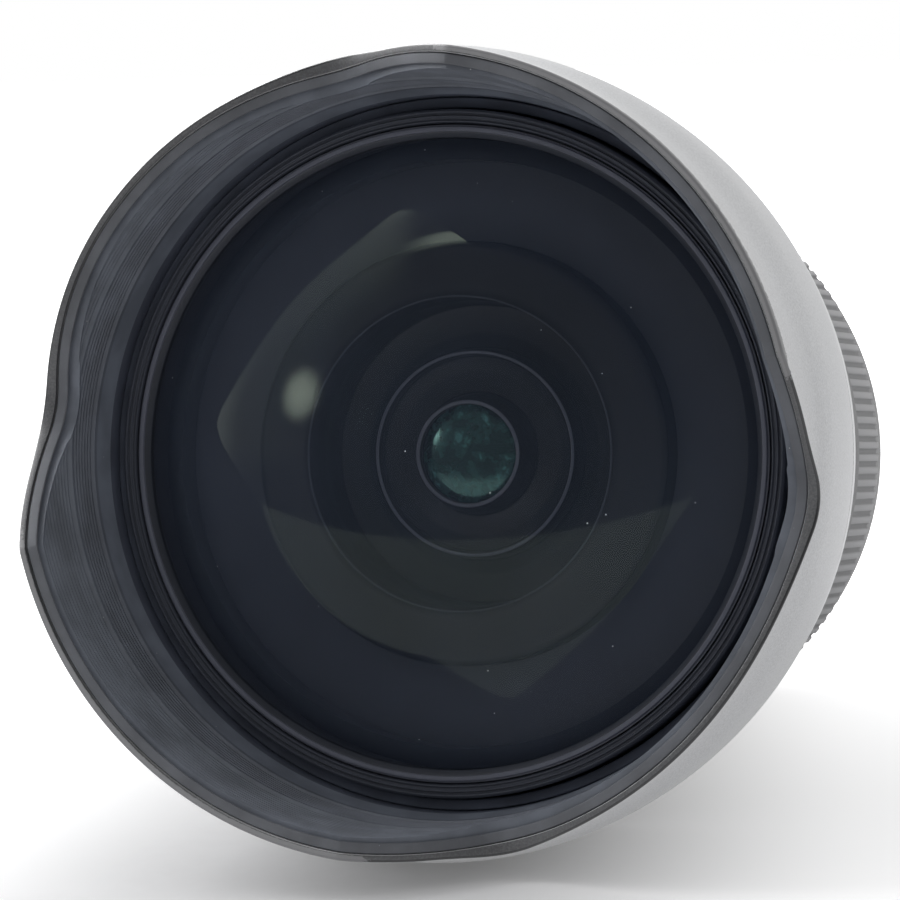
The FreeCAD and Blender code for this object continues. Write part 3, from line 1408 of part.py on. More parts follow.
os.makedirs("parts", exist_ok=True)
for name, shape in build().items():
    piece = lay_down(shape)
    piece.exportStep(f"parts/{name}.step")
    print(f"{name}: solids {len(piece.Solids)}, volume {piece.Volume:.1f}, valid {piece.isValid()}")
print(f"iris ring turns {iris_ring_turn():.4f} deg, pivots at radius {iris_pivot_r():.3f}")
print(f"taper {taper_angle():.4f} deg, tip at {TIP:.2f}, screw circle {SCREW_CIRCLE_R:.2f}")
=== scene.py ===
"""Looks of a wide-angle zoom lens with a petal hood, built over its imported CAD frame.

Turned pieces are written as (station, radius) pairs in millimetres. A station counts
forward from the mount's seat, so the lens looks along -Y, and an angle is read from the
front, anticlockwise from +X. Everything becomes metres in the row frame when it is meshed.
"""

import json
import logging
import math
from dataclasses import dataclass
from enum import Enum

import bmesh
import bpy
import numpy as np
from mathutils import Matrix, Vector

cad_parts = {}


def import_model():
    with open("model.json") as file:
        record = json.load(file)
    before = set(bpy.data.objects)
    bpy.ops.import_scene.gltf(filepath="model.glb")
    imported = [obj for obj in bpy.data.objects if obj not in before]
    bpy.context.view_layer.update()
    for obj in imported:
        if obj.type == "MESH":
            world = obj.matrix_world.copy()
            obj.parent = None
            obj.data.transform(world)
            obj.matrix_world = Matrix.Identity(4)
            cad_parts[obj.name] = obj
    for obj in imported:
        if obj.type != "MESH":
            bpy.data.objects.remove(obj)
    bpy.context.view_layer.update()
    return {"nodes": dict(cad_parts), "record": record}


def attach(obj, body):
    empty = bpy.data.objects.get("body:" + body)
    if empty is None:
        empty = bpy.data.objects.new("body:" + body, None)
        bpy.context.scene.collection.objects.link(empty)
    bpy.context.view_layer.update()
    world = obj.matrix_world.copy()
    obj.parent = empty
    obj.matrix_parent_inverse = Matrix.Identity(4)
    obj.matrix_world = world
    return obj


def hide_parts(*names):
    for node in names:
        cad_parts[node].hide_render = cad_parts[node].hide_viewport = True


MM = 0.001
FULL_TURN = 360.0
WELD = 2e-7
WEAR = "wear"

# Sizes that several sub-assemblies share, in millimetres and degrees
TOP_ANGLE = 48.0
SLEEVE_R = 37.24
ZOOM_GRIP_REAR = 34.7
ZOOM_GRIP_R = 38.64

Colour = tuple[float, float, float]
Profile = list[tuple[float, float]]
log = logging.getLogger("lens")


class Body(Enum):
    """Bodies of the frame that the dressed pieces ride on."""

    BARREL = "barrel"
    ZOOM_RING = "zoom_ring"
    FOCUS_RING = "focus_ring"
    FRONT_GROUP = "front_group"


# Shader sheets


class Wire:
    """Output socket whose arithmetic adds Math nodes to its tree."""

    def __init__(self, sheet: "Sheet", socket: bpy.types.NodeSocket | None) -> None:
        """Wraps a socket of a sheet's tree, or none for a node that ends it."""
        self.sheet = sheet
        self.socket = socket

    def maths(self, operation: str, *values: "float | Wire") -> "Wire":
        """Math node over this value and others.

        Args:
            operation: the Math node's operation.
            values: all its inputs, in order.

        Returns:
            The node's output.
        """
        settings = {"operation": operation}
        return self.sheet.node("ShaderNodeMath", settings, dict(enumerate(values)))

    def __add__(self, other: "float | Wire") -> "Wire":
        """This value plus another."""
        return self.maths("ADD", self, other)

    def __radd__(self, other: float) -> "Wire":
        """A number plus this value."""
        return self.maths("ADD", other, self)

    def __sub__(self, other: "float | Wire") -> "Wire":
        """This value less another."""
        return self.maths("SUBTRACT", self, other)

    def __rsub__(self, other: float) -> "Wire":
        """A number less this value."""
        return self.maths("SUBTRACT", other, self)

    def __mul__(self, other: "float | Wire") -> "Wire":
        """This value times another."""
        return self.maths("MULTIPLY", self, other)

    def __rmul__(self, other: float) -> "Wire":
        """A number times this value."""
        return self.maths("MULTIPLY", other, self)

    def __pow__(self, other: float) -> "Wire":
        """This value to a power."""
        return self.maths("POWER", self, other)

    def sine(self) -> "Wire":
        """Sine of this value in radians."""
        return self.maths("SINE", self)

    def either(self, other: "Wire") -> "Wire":
        """The larger of two values."""
        return self.maths("MAXIMUM", self, other)

    def ramp(self, low: float, high: float) -> "Wire":
        """Smooth step between two levels, in either order.

        Args:
            low: level at which the step is 0.
            high: level at which it is 1.

        Returns:
            The step.
        """
        settings = {"interpolation_type": "SMOOTHSTEP"}
        if low < high:
            levels = {"Value": self, "From Min": low, "From Max": high}
            return self.sheet.node("ShaderNodeMapRange", settings, levels)
        levels = {"Value": self, "From Min": high, "From Max": low, "To Min": 1.0, "To Max": 0.0}
        return self.sheet.node("ShaderNodeMapRange", settings, levels)


class Sheet:
    """Node tree of a material or a world, written through expressions."""

    # Places of the Mix node's colour sockets
    MIX_SHARE, MIX_FIRST, MIX_SECOND, MIX_RESULT = 0, 6, 7, 2

    def __init__(self, tree: bpy.types.NodeTree) -> None:
        """Empties a tree and takes it over."""
        tree.nodes.clear()
        self.tree = tree

    def node(
        self, kind: str, settings: dict | None = None, inputs: dict | None = None, out: str | int = 0
    ) -> Wire:
        """Any node of the tree.

        Args:
            kind: the node's type.
            settings: its own properties, set before its sockets.
            inputs: values, colours or wires of its sockets, by name or place.
            out: the output to hand on, by name or place.

        Returns:
            That output.
        """
        made = self.tree.nodes.new(kind)
        for name, value in (settings or {}).items():
            setattr(made, name, value)
        for name, value in (inputs or {}).items():
            if isinstance(value, Wire):
                self.tree.links.new(value.socket, made.inputs[name])
            elif isinstance(value, tuple):
                made.inputs[name].default_value = (*value, 1.0)
            else:
                made.inputs[name].default_value = value
        return Wire(self, made.outputs[out]) if len(made.outputs) else Wire(self, None)

    def place(self) -> Wire:
        """Point of the surface at rest, in the row frame."""
        return self.node("ShaderNodeTexCoord", out="Object")

    def parts(self, vector: Wire) -> tuple[Wire, Wire, Wire]:
        """The three parts of a vector."""
        outputs = self.node("ShaderNodeSeparateXYZ", inputs={0: vector}).socket.node.outputs
        return Wire(self, outputs[0]), Wire(self, outputs[1]), Wire(self, outputs[2])

    def axes(self) -> tuple[Wire, Wire, Wire]:
        """X, Y and Z of the surface's point at rest, in millimetres."""
        x, y, z = (part * (1 / MM) for part in self.parts(self.place()))
        return x, y, z

    def rays(self, *kinds: str) -> list[Wire]:
        """For each kind, such as "Camera": 1 where the ray is of that kind, and 0 elsewhere."""
        outputs = self.node("ShaderNodeLightPath").socket.node.outputs
        return [Wire(self, outputs[f"Is {kind} Ray"]) for kind in kinds]

    def polar(self) -> tuple[Wire, Wire]:
        """Radius about the optical axis and place along it, in millimetres."""
        x, along, z = self.axes()
        return (x * x + z * z) ** 0.5, along

    def worn(self) -> Wire:
        """How worn the surface is, from 0 to 1, as its form says."""
        return self.node("ShaderNodeAttribute", {"attribute_name": WEAR}, out="Fac")

    def grain(self, size: float, detail: float = 2.0, rough: float = 0.5) -> Wire:
        """Even noise from 0 to 1.

        Args:
            size: width of its spots in millimetres.
            detail: number of finer layers.
            rough: share of the finer layers.

        Returns:
            The noise.
        """
        inputs = {"Vector": self.place(), "Scale": 1 / (size * MM)}
        inputs |= {"Detail": detail, "Roughness": rough}
        return self.node("ShaderNodeTexNoise", inputs=inputs)

    def specks(self, spacing: float, share: float) -> Wire:
        """Sparse round specks: 1 in a speck and 0 elsewhere.

        Args:
            spacing: distance between the cells that may hold one, in millimetres.
            share: speck radius as a share of the spacing.

        Returns:
            The specks' mask.
        """
        cells = self.node(
            "ShaderNodeTexVoronoi",
            {"feature": "F1"},
            {"Vector": self.place(), "Scale": 1 / (spacing * MM)},
            "Distance",
        )
        chance, _, _ = self.parts(Wire(self, cells.socket.node.outputs["Color"]))
        return cells.ramp(share, share * 0.5) * chance.ramp(0.72, 0.8)

    def glancing(self, low: float, high: float) -> Wire:
        """0 where the surface is seen head on, 1 where it is seen edge on.

        Args:
            low: level of the facing weight that still counts as head on.
            high: level that counts as edge on.

        Returns:
            The mask.
        """
        facing = self.node("ShaderNodeLayerWeight", inputs={"Blend": 0.5}, out="Facing")
        return facing.ramp(low, high)

    def blend(self, share: "float | Wire", first: "Colour | Wire", second: "Colour | Wire") -> Wire:
        """Mix of two colours.

        Args:
            share: share of the second colour.
            first: colour at share 0.
            second: colour at share 1.

        Returns:
            The mixed colour.
        """
        inputs = {self.MIX_SHARE: share, self.MIX_FIRST: first, self.MIX_SECOND: second}
        return self.node("ShaderNodeMix", {"data_type": "RGBA"}, inputs, self.MIX_RESULT)

    def relief(self, height: Wire, depth: float) -> Wire:
        """Bump whose full height is a depth in millimetres."""
        inputs = {"Height": height, "Distance": depth * MM, "Strength": 1.0}
        return self.node("ShaderNodeBump", inputs=inputs)

    def surface(self, inputs: dict) -> None:
        """Principled surface that ends the sheet of a material."""
        shader = self.node("ShaderNodeBsdfPrincipled", inputs=inputs)
        self.node("ShaderNodeOutputMaterial", inputs={"Surface": shader})


# Finishes

GAP_MOUTH, GAP_BOTTOM = 109.5, 103.5
WELL_RIM_R, CLEAR_RIM_R = 21.0, 34.0
# Pale grey of the satin paint's painted sheen, seen edge on
PAINT_SHEEN_GREY: Colour = (0.88, 0.89, 0.91)
# Pale grey of the rubber's painted sheen, seen edge on
RUBBER_SHEEN_GREY: Colour = (0.82, 0.82, 0.84)
GLASS_DUST: Colour = (0.80, 0.82, 0.80)


@dataclass(frozen=True)
class Finish:
    """A surface finish: its material's name, colour and roughness."""

    name: str
    colour: Colour
    roughness: float

    def material(self) -> bpy.types.Material:
        """Material of the finish, made at its first use.

        Returns:
            The material.
        """
        made = bpy.data.materials.get(self.name)
        if made is None:
            made = bpy.data.materials.new(self.name)
            made.use_nodes = True
            self.paint(Sheet(made.node_tree))
        return made

    def paint(self, sheet: Sheet) -> None:
        """Writes the finish's nodes."""
        raise NotImplementedError

    def shade(self, factor: float) -> Colour:
        """The finish's colour, lighter or darker."""
        return tuple(min(1.0, part * factor) for part in self.colour)


@dataclass(frozen=True)
class SatinPaint(Finish):
    """Satin paint with a fine speckle, rubbed edges, and a painted sheen that turns it pale grey where it
    is seen edge on.
    """

    coat: float = 0.0
    painted_sheen: float = 0.2
    bare: Colour = (0.24, 0.24, 0.25)

    def paint(self, sheet: Sheet) -> None:
        """Writes the paint's nodes.

        Args:
            sheet: the material's node tree.
        """
        fine = sheet.grain(0.25, 3.0, 0.6)
        cloud = sheet.grain(9.0, 3.0)
        tone = sheet.blend(fine.ramp(0.35, 0.7), self.shade(0.78), self.shade(1.25))
        tone = sheet.blend(cloud.ramp(0.3, 0.75) * 0.35, tone, self.shade(1.3))
        worn = sheet.worn()
        chips = sheet.grain(0.55, 4.0, 0.7)
        scuffs = (worn * 0.7 + chips - 0.78).ramp(0.0, 0.12) * worn.ramp(0.05, 0.3)
        marks = sheet.specks(2.6, 0.05)
        # Painted sheen: pale grey mixed into the colour where the surface is seen edge on, standing for
        # its grazing reflection
        painted_sheen = sheet.glancing(0.46, 0.68) * (0.66 + 0.8 * fine) * self.painted_sheen
        tone = sheet.blend(painted_sheen, tone, PAINT_SHEEN_GREY)
        tone = sheet.blend(scuffs, tone, self.bare)
        tone = sheet.blend(marks * 0.5, tone, self.bare)
        rough = self.roughness + (fine - 0.5) * 0.16 + scuffs * 0.12
        bump = sheet.relief(fine - scuffs * 1.5, 0.008)
        sheet.surface(
            {
                "Base Color": tone,
                "Roughness": rough,
                "Normal": bump,
                "IOR": 1.5,
                "Coat Weight": self.coat,
                "Coat Roughness": 0.36,
            }
        )


@dataclass(frozen=True)
class Lining(Finish):
    """Matt blue-black lining of the hood, with fine turning marks and a little dust.

    A factor above 1 paints light into it toward the bottom of the gap round the front cell, where shade
    falls.
    """

    bloom_and_painted_fill: float = 1.0
    pitch: float = 0.31

    def paint(self, sheet: Sheet) -> None:
        """Writes the lining's nodes.

        Args:
            sheet: the material's node tree.
        """
        _, along, _ = sheet.axes()
        turned = (along * (math.tau / self.pitch)).sine() * 0.5 + 0.5
        cloud = sheet.grain(6.0, 3.0)
        tone = sheet.blend(cloud.ramp(0.3, 0.7), self.shade(0.85), self.shade(1.2))
        # Painted light: lighter toward the bottom of the gap, against the shade that falls there
        if self.bloom_and_painted_fill > 1.0:
            depth = along.ramp(-GAP_MOUTH, -GAP_BOTTOM)
            tone = sheet.blend(depth, tone, self.shade(self.bloom_and_painted_fill))
        tone = sheet.blend(sheet.specks(1.9, 0.045), tone, self.shade(6.0))
        rough = self.roughness + (cloud - 0.5) * 0.12
        bump = sheet.relief(turned * 0.6 + sheet.grain(0.2) * 0.4, 0.01)
        sheet.surface({"Base Color": tone, "Roughness": rough, "Normal": bump, "IOR": 1.55})


@dataclass(frozen=True)
class Rubber(Finish):
    """Matt moulded rubber with paler mottling, and a painted sheen that turns it pale grey seen edge on,
    strongest on its ribs.
    """

    def paint(self, sheet: Sheet) -> None:
        """Writes the rubber's nodes.

        Args:
            sheet: the material's node tree.
        """
        fine = sheet.grain(0.12, 2.0)
        bloom_and_painted_fill = sheet.grain(5.0, 4.0, 0.6)
        tone = sheet.blend(bloom_and_painted_fill.ramp(0.35, 0.8) * 0.55, self.colour, self.shade(1.9))
        # Painted sheen: pale grey mixed in where the rubber is seen edge on, more on the rib crests that
        # the form marks as worn
        painted_rubber_sheen = sheet.glancing(0.46, 0.7) * (0.36 + 0.3 * sheet.worn())
        tone = sheet.blend(painted_rubber_sheen, tone, RUBBER_SHEEN_GREY)
        tone = sheet.blend(sheet.specks(1.6, 0.06) * 0.5, tone, self.shade(6.0))
        rough = self.roughness + (bloom_and_painted_fill - 0.5) * 0.14
        sheet.surface(
            {
                "Base Color": tone,
                "Roughness": rough,
                "Normal": sheet.relief(fine, 0.01),
                "Sheen Weight": 0.3,
                "Sheen Roughness": 0.5,
            }
        )


@dataclass(frozen=True)
class Turned(Finish):
    """Metal turned on a lathe: fine rings, and a few handling marks."""

    metallic: float = 1.0
    pitch: float = 0.12

    def paint(self, sheet: Sheet) -> None:
        """Writes the metal's nodes.

        Args:
            sheet: the material's node tree.
        """
        radius, along = sheet.polar()
        rings = ((radius + along) * (math.tau / self.pitch)).sine() * 0.5 + 0.5
        smudge = sheet.grain(4.0, 3.0)
        tone = sheet.blend(smudge.ramp(0.3, 0.8), self.shade(0.94), self.shade(1.04))
        rough = self.roughness + (smudge - 0.5) * 0.06 + (rings - 0.5) * 0.05
        bump = sheet.relief(rings * 0.5 + sheet.grain(0.3) * 0.5, 0.004)
        inputs = {"Base Color": tone, "Roughness": rough, "Normal": bump}
        sheet.surface(inputs | {"Metallic": self.metallic})


@dataclass(frozen=True)
class Moulded(Finish):
    """Moulded plastic with a fine spark-eroded grain."""

    def paint(self, sheet: Sheet) -> None:
        """Writes the plastic's nodes.

        Args:
            sheet: the material's node tree.
        """
        grain = sheet.grain(0.16, 2.0)
        cloud = sheet.grain(5.0, 3.0)
        tone = sheet.blend(cloud.ramp(0.3, 0.75), self.shade(0.85), self.shade(1.25))
        rough = self.roughness + (grain - 0.5) * 0.12
        bump = sheet.relief(grain, 0.018)
        sheet.surface({"Base Color": tone, "Roughness": rough, "Normal": bump})


@dataclass(frozen=True)
class Ink(Finish):
    """Printed marking paint, slightly uneven."""

    def paint(self, sheet: Sheet) -> None:
        """Writes the ink's nodes.

        Args:
            sheet: the material's node tree.
        """
        patchy = sheet.grain(0.4, 3.0)
        tone = sheet.blend(patchy.ramp(0.3, 0.7), self.shade(0.82), self.colour)
        rough = self.roughness + (patchy - 0.5) * 0.1
        sheet.surface({"Base Color": tone, "Roughness": rough})


@dataclass(frozen=True)
class CoatedGlass(Finish):
    """Coated glass: thin see-through skin with tinted reflections and a few dust specks.

    Painted reflections lay pale and dark patches, ghost images of the lenses behind it, into its
    colour, and a rim above 1 lightens the glass outside its well.
    """

    alpha: float = 0.3
    tint: Colour = (1.0, 1.0, 1.0)
    index: float = 1.5
    mirror: float = 0.5
    dust: float = 0.0
    painted_reflections: float = 0.0
    rim: float = 1.0

    def paint(self, sheet: Sheet) -> None:
        """Writes the glass's nodes.

        Args:
            sheet: the material's node tree.
        """
        haze = sheet.grain(14.0, 3.0)
        tone = sheet.blend(haze.ramp(0.3, 0.7), self.shade(0.85), self.shade(1.15))
        if self.rim > 1.0:
            radius, _ = sheet.polar()
            outside = radius.ramp(WELL_RIM_R, CLEAR_RIM_R)
            tone = sheet.blend(outside, tone, self.shade(self.rim))
        reflection_pattern = sheet.grain(1.7, 3.0, 0.6)
        # Painted reflections: dark and pale patches in the colour, standing for ghost images
        tone = sheet.blend(reflection_pattern.ramp(0.55, 0.4) * self.painted_reflections, tone, self.shade(0.25))
        tone = sheet.blend(reflection_pattern.ramp(0.58, 0.7) * self.painted_reflections, tone, self.shade(3.2))
        dust = (sheet.specks(2.5, 0.045) + sheet.specks(4.1, 0.03)).ramp(0.0, 1.0) * self.dust
        tone = sheet.blend(dust, tone, GLASS_DUST)
        sheet.surface(
            {
                "Base Color": tone,
                "Roughness": self.roughness + dust * 0.5,
                "Alpha": dust.either(self.alpha + (haze - 0.5) * 0.04),
                "IOR": self.index,
                "Specular IOR Level": self.mirror,
                "Specular Tint": self.tint,
            }
        )


@dataclass(frozen=True)
class Board(Finish):
    """Circuit board under green solder mask, with its tracks showing through."""

    def paint(self, sheet: Sheet) -> None:
        """Writes the board's nodes.

        Args:
            sheet: the material's node tree.
        """
        tracks = sheet.node(
            "ShaderNodeTexBrick",
            {"offset": 0.5},
            {"Vector": sheet.place(), "Scale": 420.0, "Mortar Size": 0.06},
            "Fac",
        )
        tone = sheet.blend(tracks, self.colour, self.shade(2.2))
        rough = self.roughness + (sheet.grain(0.4) - 0.5) * 0.1
        bump = sheet.relief(tracks, 0.03)
        sheet.surface({"Base Color": tone, "Roughness": rough, "Normal": bump})


# Each paint's last value sets its painted sheen, how pale it turns seen edge on
SHELL = SatinPaint("finish_shell", (0.030, 0.031, 0.034), 0.46, coat=0.4, painted_sheen=0.8)
# Painted highlight: the rear bead is pale grey, standing for the glint along its rounded edge
SHELL_BEAD_HIGHLIGHT = SatinPaint("finish_shell_bead_highlight", (0.62, 0.62, 0.63), 0.34, coat=1.0, painted_sheen=1.0)
SHELL_RIM = SatinPaint(
    "finish_shell_rim", (0.125, 0.127, 0.133), 0.5, painted_sheen=0.35, bare=(0.30, 0.30, 0.31)
)
BARREL = SatinPaint("finish_barrel", (0.024, 0.025, 0.028), 0.44, coat=0.2, painted_sheen=0.12)
LINING = Lining("finish_lining", (0.165, 0.182, 0.218), 0.55)
# Painted shade and light: the finer grooves take a darker copy of the lining, the plain band behind them
# a lighter one
LINING_SHADED = Lining("finish_lining_shaded", (0.145, 0.160, 0.196), 0.5)
LINING_LIT_BAND = Lining("finish_lining_lit_band", (0.205, 0.228, 0.276), 0.55)
# Painted shade and light in the gap round the front cell: a darker lining that turns lighter toward the
# gap's bottom
LINING_GAP_SHADE_AND_FILL = Lining("finish_lining_gap_shade_and_fill", (0.088, 0.100, 0.136), 0.7, bloom_and_painted_fill=3.0)
LINING_FACET = Lining("finish_lining_facet", (0.130, 0.137, 0.154), 0.6)
FELT = Lining("finish_felt", (0.095, 0.110, 0.150), 0.8)
RUBBER = Rubber("finish_rubber", (0.030, 0.030, 0.032), 0.72)
ANODISED = Turned("finish_anodised", (0.070, 0.078, 0.102), 0.42, metallic=0.0)
# Painted highlights: paler copies of the anodised finish on thin ridges and lips, standing for the glints
# on their sharp edges
RIDGE_HIGHLIGHT = Turned("finish_ridge_highlight", (0.15, 0.16, 0.205), 0.4, metallic=0.0)
FAINT_RIDGE_HIGHLIGHT = Turned("finish_faint_ridge_highlight", (0.075, 0.08, 0.10), 0.45, metallic=0.0)
BEVEL = Turned("finish_bevel", (0.038, 0.044, 0.060), 0.45, metallic=0.0)
WELL = Turned("finish_well", (0.012, 0.013, 0.018), 0.5, metallic=0.0)
SILVER = Turned("finish_silver", (0.62, 0.62, 0.64), 0.32)
CHROME = Turned("finish_chrome", (0.74, 0.74, 0.76), 0.2)
STEEL = Turned("finish_steel", (0.55, 0.55, 0.57), 0.28)
BRASS = Turned("finish_brass", (0.78, 0.60, 0.28), 0.3)
GOLD = Turned("finish_gold", (0.85, 0.66, 0.30), 0.22, pitch=0.05)
BLACK_PLASTIC = Moulded("finish_black_plastic", (0.028, 0.028, 0.030), 0.5)
GREY_PLASTIC = Moulded("finish_grey_plastic", (0.10, 0.10, 0.11), 0.42)
WHITE_INK = Ink("finish_white_ink", (0.80, 0.80, 0.78), 0.4)
BEAD = Ink("finish_bead", (0.86, 0.86, 0.84), 0.2)
LEAF = Turned("finish_leaf", (0.020, 0.020, 0.022), 0.38, metallic=0.4)
BOARD = Board("finish_board", (0.02, 0.15, 0.07), 0.35)
DOME_GLASS = CoatedGlass(
    "finish_dome",
    (0.052, 0.068, 0.106),
    0.03,
    alpha=0.3,
    tint=(0.84, 1.0, 0.78),
    mirror=0.5,
    dust=1.0,
    rim=1.5,
)
HOLLOW_GLASS = CoatedGlass(
    "finish_hollow", (0.03, 0.04, 0.06), 0.04, alpha=0.08, tint=(0.7, 1.0, 0.85), mirror=0.15
)
INNER_GLASS = CoatedGlass(
    "finish_inner_glass", (0.02, 0.05, 0.05), 0.04, alpha=0.5, tint=(0.6, 1.0, 0.9), index=1.8
)
EYE_GLASS = CoatedGlass(
    "finish_eye", (0.029, 0.083, 0.080), 0.16, alpha=0.97, tint=(0.5, 1.0, 0.9), index=2.0, painted_reflections=1.0
)

SLOT_FINISHES: dict[str, Finish] = {
    "shell_satin": SHELL,
    "hood_lining": LINING,
    "barrel_satin": BARREL,
    "anodised_black": ANODISED,
    "anodised_silver": SILVER,
    "rubber_black": RUBBER,
    "mount_chrome": CHROME,
    "steel": STEEL,
    "brass": BRASS,
    "gold_contact": GOLD,
    "plastic_black": BLACK_PLASTIC,
    "plastic_grey": GREY_PLASTIC,
    "bead_white": BEAD,
    "board_green": BOARD,
    "glass_front": DOME_GLASS,
    "glass_inner": INNER_GLASS,
    "leaf_black": LEAF,
}


# Meshing


def eased(corners: Profile, radius: float = 0.25, steps: int = 3) -> Profile:
    """Open outline with its inner corners rounded.

    Args:
        corners: (station, radius) corners, in order.
        radius: reach of the rounding along each side, cut to a third of a short side.
        steps: segments of each rounded corner.

    Returns:
        The outline with an arc in place of each corner but the two ends.
    """
    points = [np.array(corner, float) for corner in corners]
    outline: list[np.ndarray] = [points[0]]
    for before, corner, after in zip(points, points[1:], points[2:]):
        back, ahead = before - corner, after - corner
        reach = min(radius, np.linalg.norm(back) / 3, np.linalg.norm(ahead) / 3)
        start = corner + back / np.linalg.norm(back) * reach
        end = corner + ahead / np.linalg.norm(ahead) * reach
        for i in range(steps + 1):
            t = i / steps
            outline.append((1 - t) ** 2 * start + 2 * t * (1 - t) * corner + t**2 * end)
    outline.append(points[-1])
    return [(float(point[0]), float(point[1])) for point in outline]


def sphere_cap(apex: float, sphere_r: float, rim_r: float, rows: int) -> Profile:
    """Meridian of a cap that bulges forward.

    Args:
        apex: station of its middle.
        sphere_r: radius of the sphere.
        rim_r: radius of its rim.
        rows: number of its steps.

    Returns:
        The profile from the rim to the middle.
    """
    reach = math.asin(rim_r / sphere_r)
    turns = [reach * (1 - i / rows) for i in range(rows + 1)]
    return [(apex - sphere_r * (1 - math.cos(t)), sphere_r * math.sin(t)) for t in turns]


def placed(stations: np.ndarray, radii: np.ndarray, angles: np.ndarray) -> np.ndarray:
    """Points in metres, from stations and radii in millimetres and angles in radians."""
    return np.stack([radii * np.cos(angles), -stations, radii * np.sin(angles)], axis=-1) * MM


class Form:
    """Mesh under construction, made of sheets swept about the optical axis."""

    def __init__(self, name: str) -> None:
        """Starts an empty mesh with the piece's name."""
        self.name = name
        self.points: list[np.ndarray] = []
        self.faces: list[np.ndarray] = []
        self.wear: list[np.ndarray] = []
        self.tones: list[np.ndarray] = []
        self.count = 0

    def add(
        self, points: np.ndarray, quads: np.ndarray, wear: np.ndarray | None = None, tone: int = 0
    ) -> None:
        """Adds points and the faces between them.

        Args:
            points: the points, in metres.
            quads: four of the points' numbers for each face.
            wear: how worn each point is, from 0 to 1.
            tone: number of the material that the faces take.
        """
        self.faces.append(quads + self.count)
        self.points.append(points)
        self.wear.append(np.zeros(len(points)) if wear is None else wear)
        self.tones.append(np.full(len(quads), tone))
        self.count += len(points)

    def sheet(
        self,
        stations: np.ndarray,
        radii: np.ndarray,
        angles: np.ndarray,
        looped: bool = True,
        wear: np.ndarray | None = None,
        tone: int = 0,
    ) -> None:
        """Adds a grid of faces, with rows along the first axis and columns along the second.

        Args:
            stations: stations of the grid's points.
            radii: their radii.
            angles: their angles in degrees.
            looped: whether the last column joins the first.
            wear: how worn each point is, from 0 to 1.
            tone: number of the material that the faces take.
        """
        station, radius, turn = np.broadcast_arrays(stations, radii, np.radians(angles))
        index = np.arange(station.size).reshape(station.shape)
        right = np.roll(index, -1, axis=1) if looped else index[:, 1:]
        left = index if looped else index[:, :-1]
        quads = np.stack([left[:-1], right[:-1], right[1:], left[1:]], axis=-1).reshape(-1, 4)
        points = placed(station, radius, turn).reshape(-1, 3)
        self.add(points, quads, None if wear is None else wear.ravel(), tone)

    def turn(self, profile: Profile, columns: int = 360, closed: bool = True, tone: int = 0) -> None:
        """Adds a turned surface.

        Args:
            profile: (station, radius) pairs in order.
            columns: steps round the axis.
            closed: whether the profile's last point joins its first.
            tone: number of the material that it takes.
        """
        loop = profile + profile[:1] if closed else profile
        outline = np.array(loop)[:, :, None]
        angles = np.arange(columns) * FULL_TURN / columns
        self.sheet(outline[:, 0], outline[:, 1], angles[None, :], tone=tone)

    def piece(
        self,
        body: Body,
        finishes: "Finish | list[Finish]",
        stands_for: tuple[str, ...] = (),
        slot: str | None = None,
        crease: float = 32.0,
    ) -> bpy.types.Object:
        """Meshes the form and mounts it on its body.

        Args:
            body: the body that it rides on.
            finishes: its finish, or one for each tone.
            stands_for: CAD nodes that it replaces.
            slot: not used; callers pass the record's material slot of its finish.
            crease: angle in degrees above which an edge stays sharp.

        Returns:
            The piece.
        """
        mesh = bpy.data.meshes.new(self.name)
        mesh.from_pydata(np.concatenate(self.points).tolist(), [], np.concatenate(self.faces).tolist())
        wear = mesh.attributes.new(WEAR, "FLOAT", "POINT")
        wear.data.foreach_set("value", np.concatenate(self.wear).astype(np.float32))
        mesh.polygons.foreach_set("material_index", np.concatenate(self.tones).astype(np.int32))
        for finish in finishes if isinstance(finishes, list) else [finishes]:
            mesh.materials.append(finish.material())
        work = bmesh.new()
        work.from_mesh(mesh)
        bmesh.ops.remove_doubles(work, verts=work.verts, dist=WELD)
        bmesh.ops.recalc_face_normals(work, faces=work.faces)
        work.to_mesh(mesh)
        work.free()
        mesh.shade_smooth()
        mesh.set_sharp_from_angle(angle=math.radians(crease))
        made = bpy.data.objects.new(self.name, mesh)
        bpy.context.scene.collection.objects.link(made)
        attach(made, body.value)
        if stands_for:
            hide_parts(*stands_for)
        log.info("%s: %d points on %s", self.name, len(mesh.vertices), body.value)
        return made


class Section:
    """Section whose rows follow an edge that isn't level, such as the hood's."""

    def __init__(self, columns: int) -> None:
        """Starts an empty section."""
        self.columns = columns
        self.stations: list[np.ndarray] = []
        self.radii: list[np.ndarray] = []
        self.wear: list[np.ndarray] = []
        self.borders = [0]

    def row(
        self, station: np.ndarray | float, radius: np.ndarray | float, wear: np.ndarray | float = 0.0
    ) -> None:
        """Adds a row.

        Args:
            station: station of each column, or one for all.
            radius: radius of each column, or one for all.
            wear: how worn each column is, from 0 to 1.
        """
        for rows, values in ((self.stations, station), (self.radii, radius), (self.wear, wear)):
            rows.append(np.broadcast_to(values, self.columns))

    def border(self, ahead: int = 0) -> None:
        """Lets the next finish start at the last row, or so many rows ahead of it."""
        self.borders.append(len(self.stations) - 1 + ahead)

    def lay(self, form: Form, angles: np.ndarray, tones: tuple[int, ...]) -> None:
        """Sweeps the rows round the axis.

        Args:
            form: the form that takes them.
            angles: angles of the columns, in degrees.
            tones: number of the material from each border to the next.
        """
        ends = self.borders[1:] + [len(self.stations) - 1]
        stations, radii, wear = np.array(self.stations), np.array(self.radii), np.array(self.wear)
        for first, last, tone in zip(self.borders, ends, tones):
            rows = slice(first, last + 1)
            form.sheet(stations[rows], radii[rows], angles[None, :], wear=wear[rows], tone=tone)


# Sub-assemblies


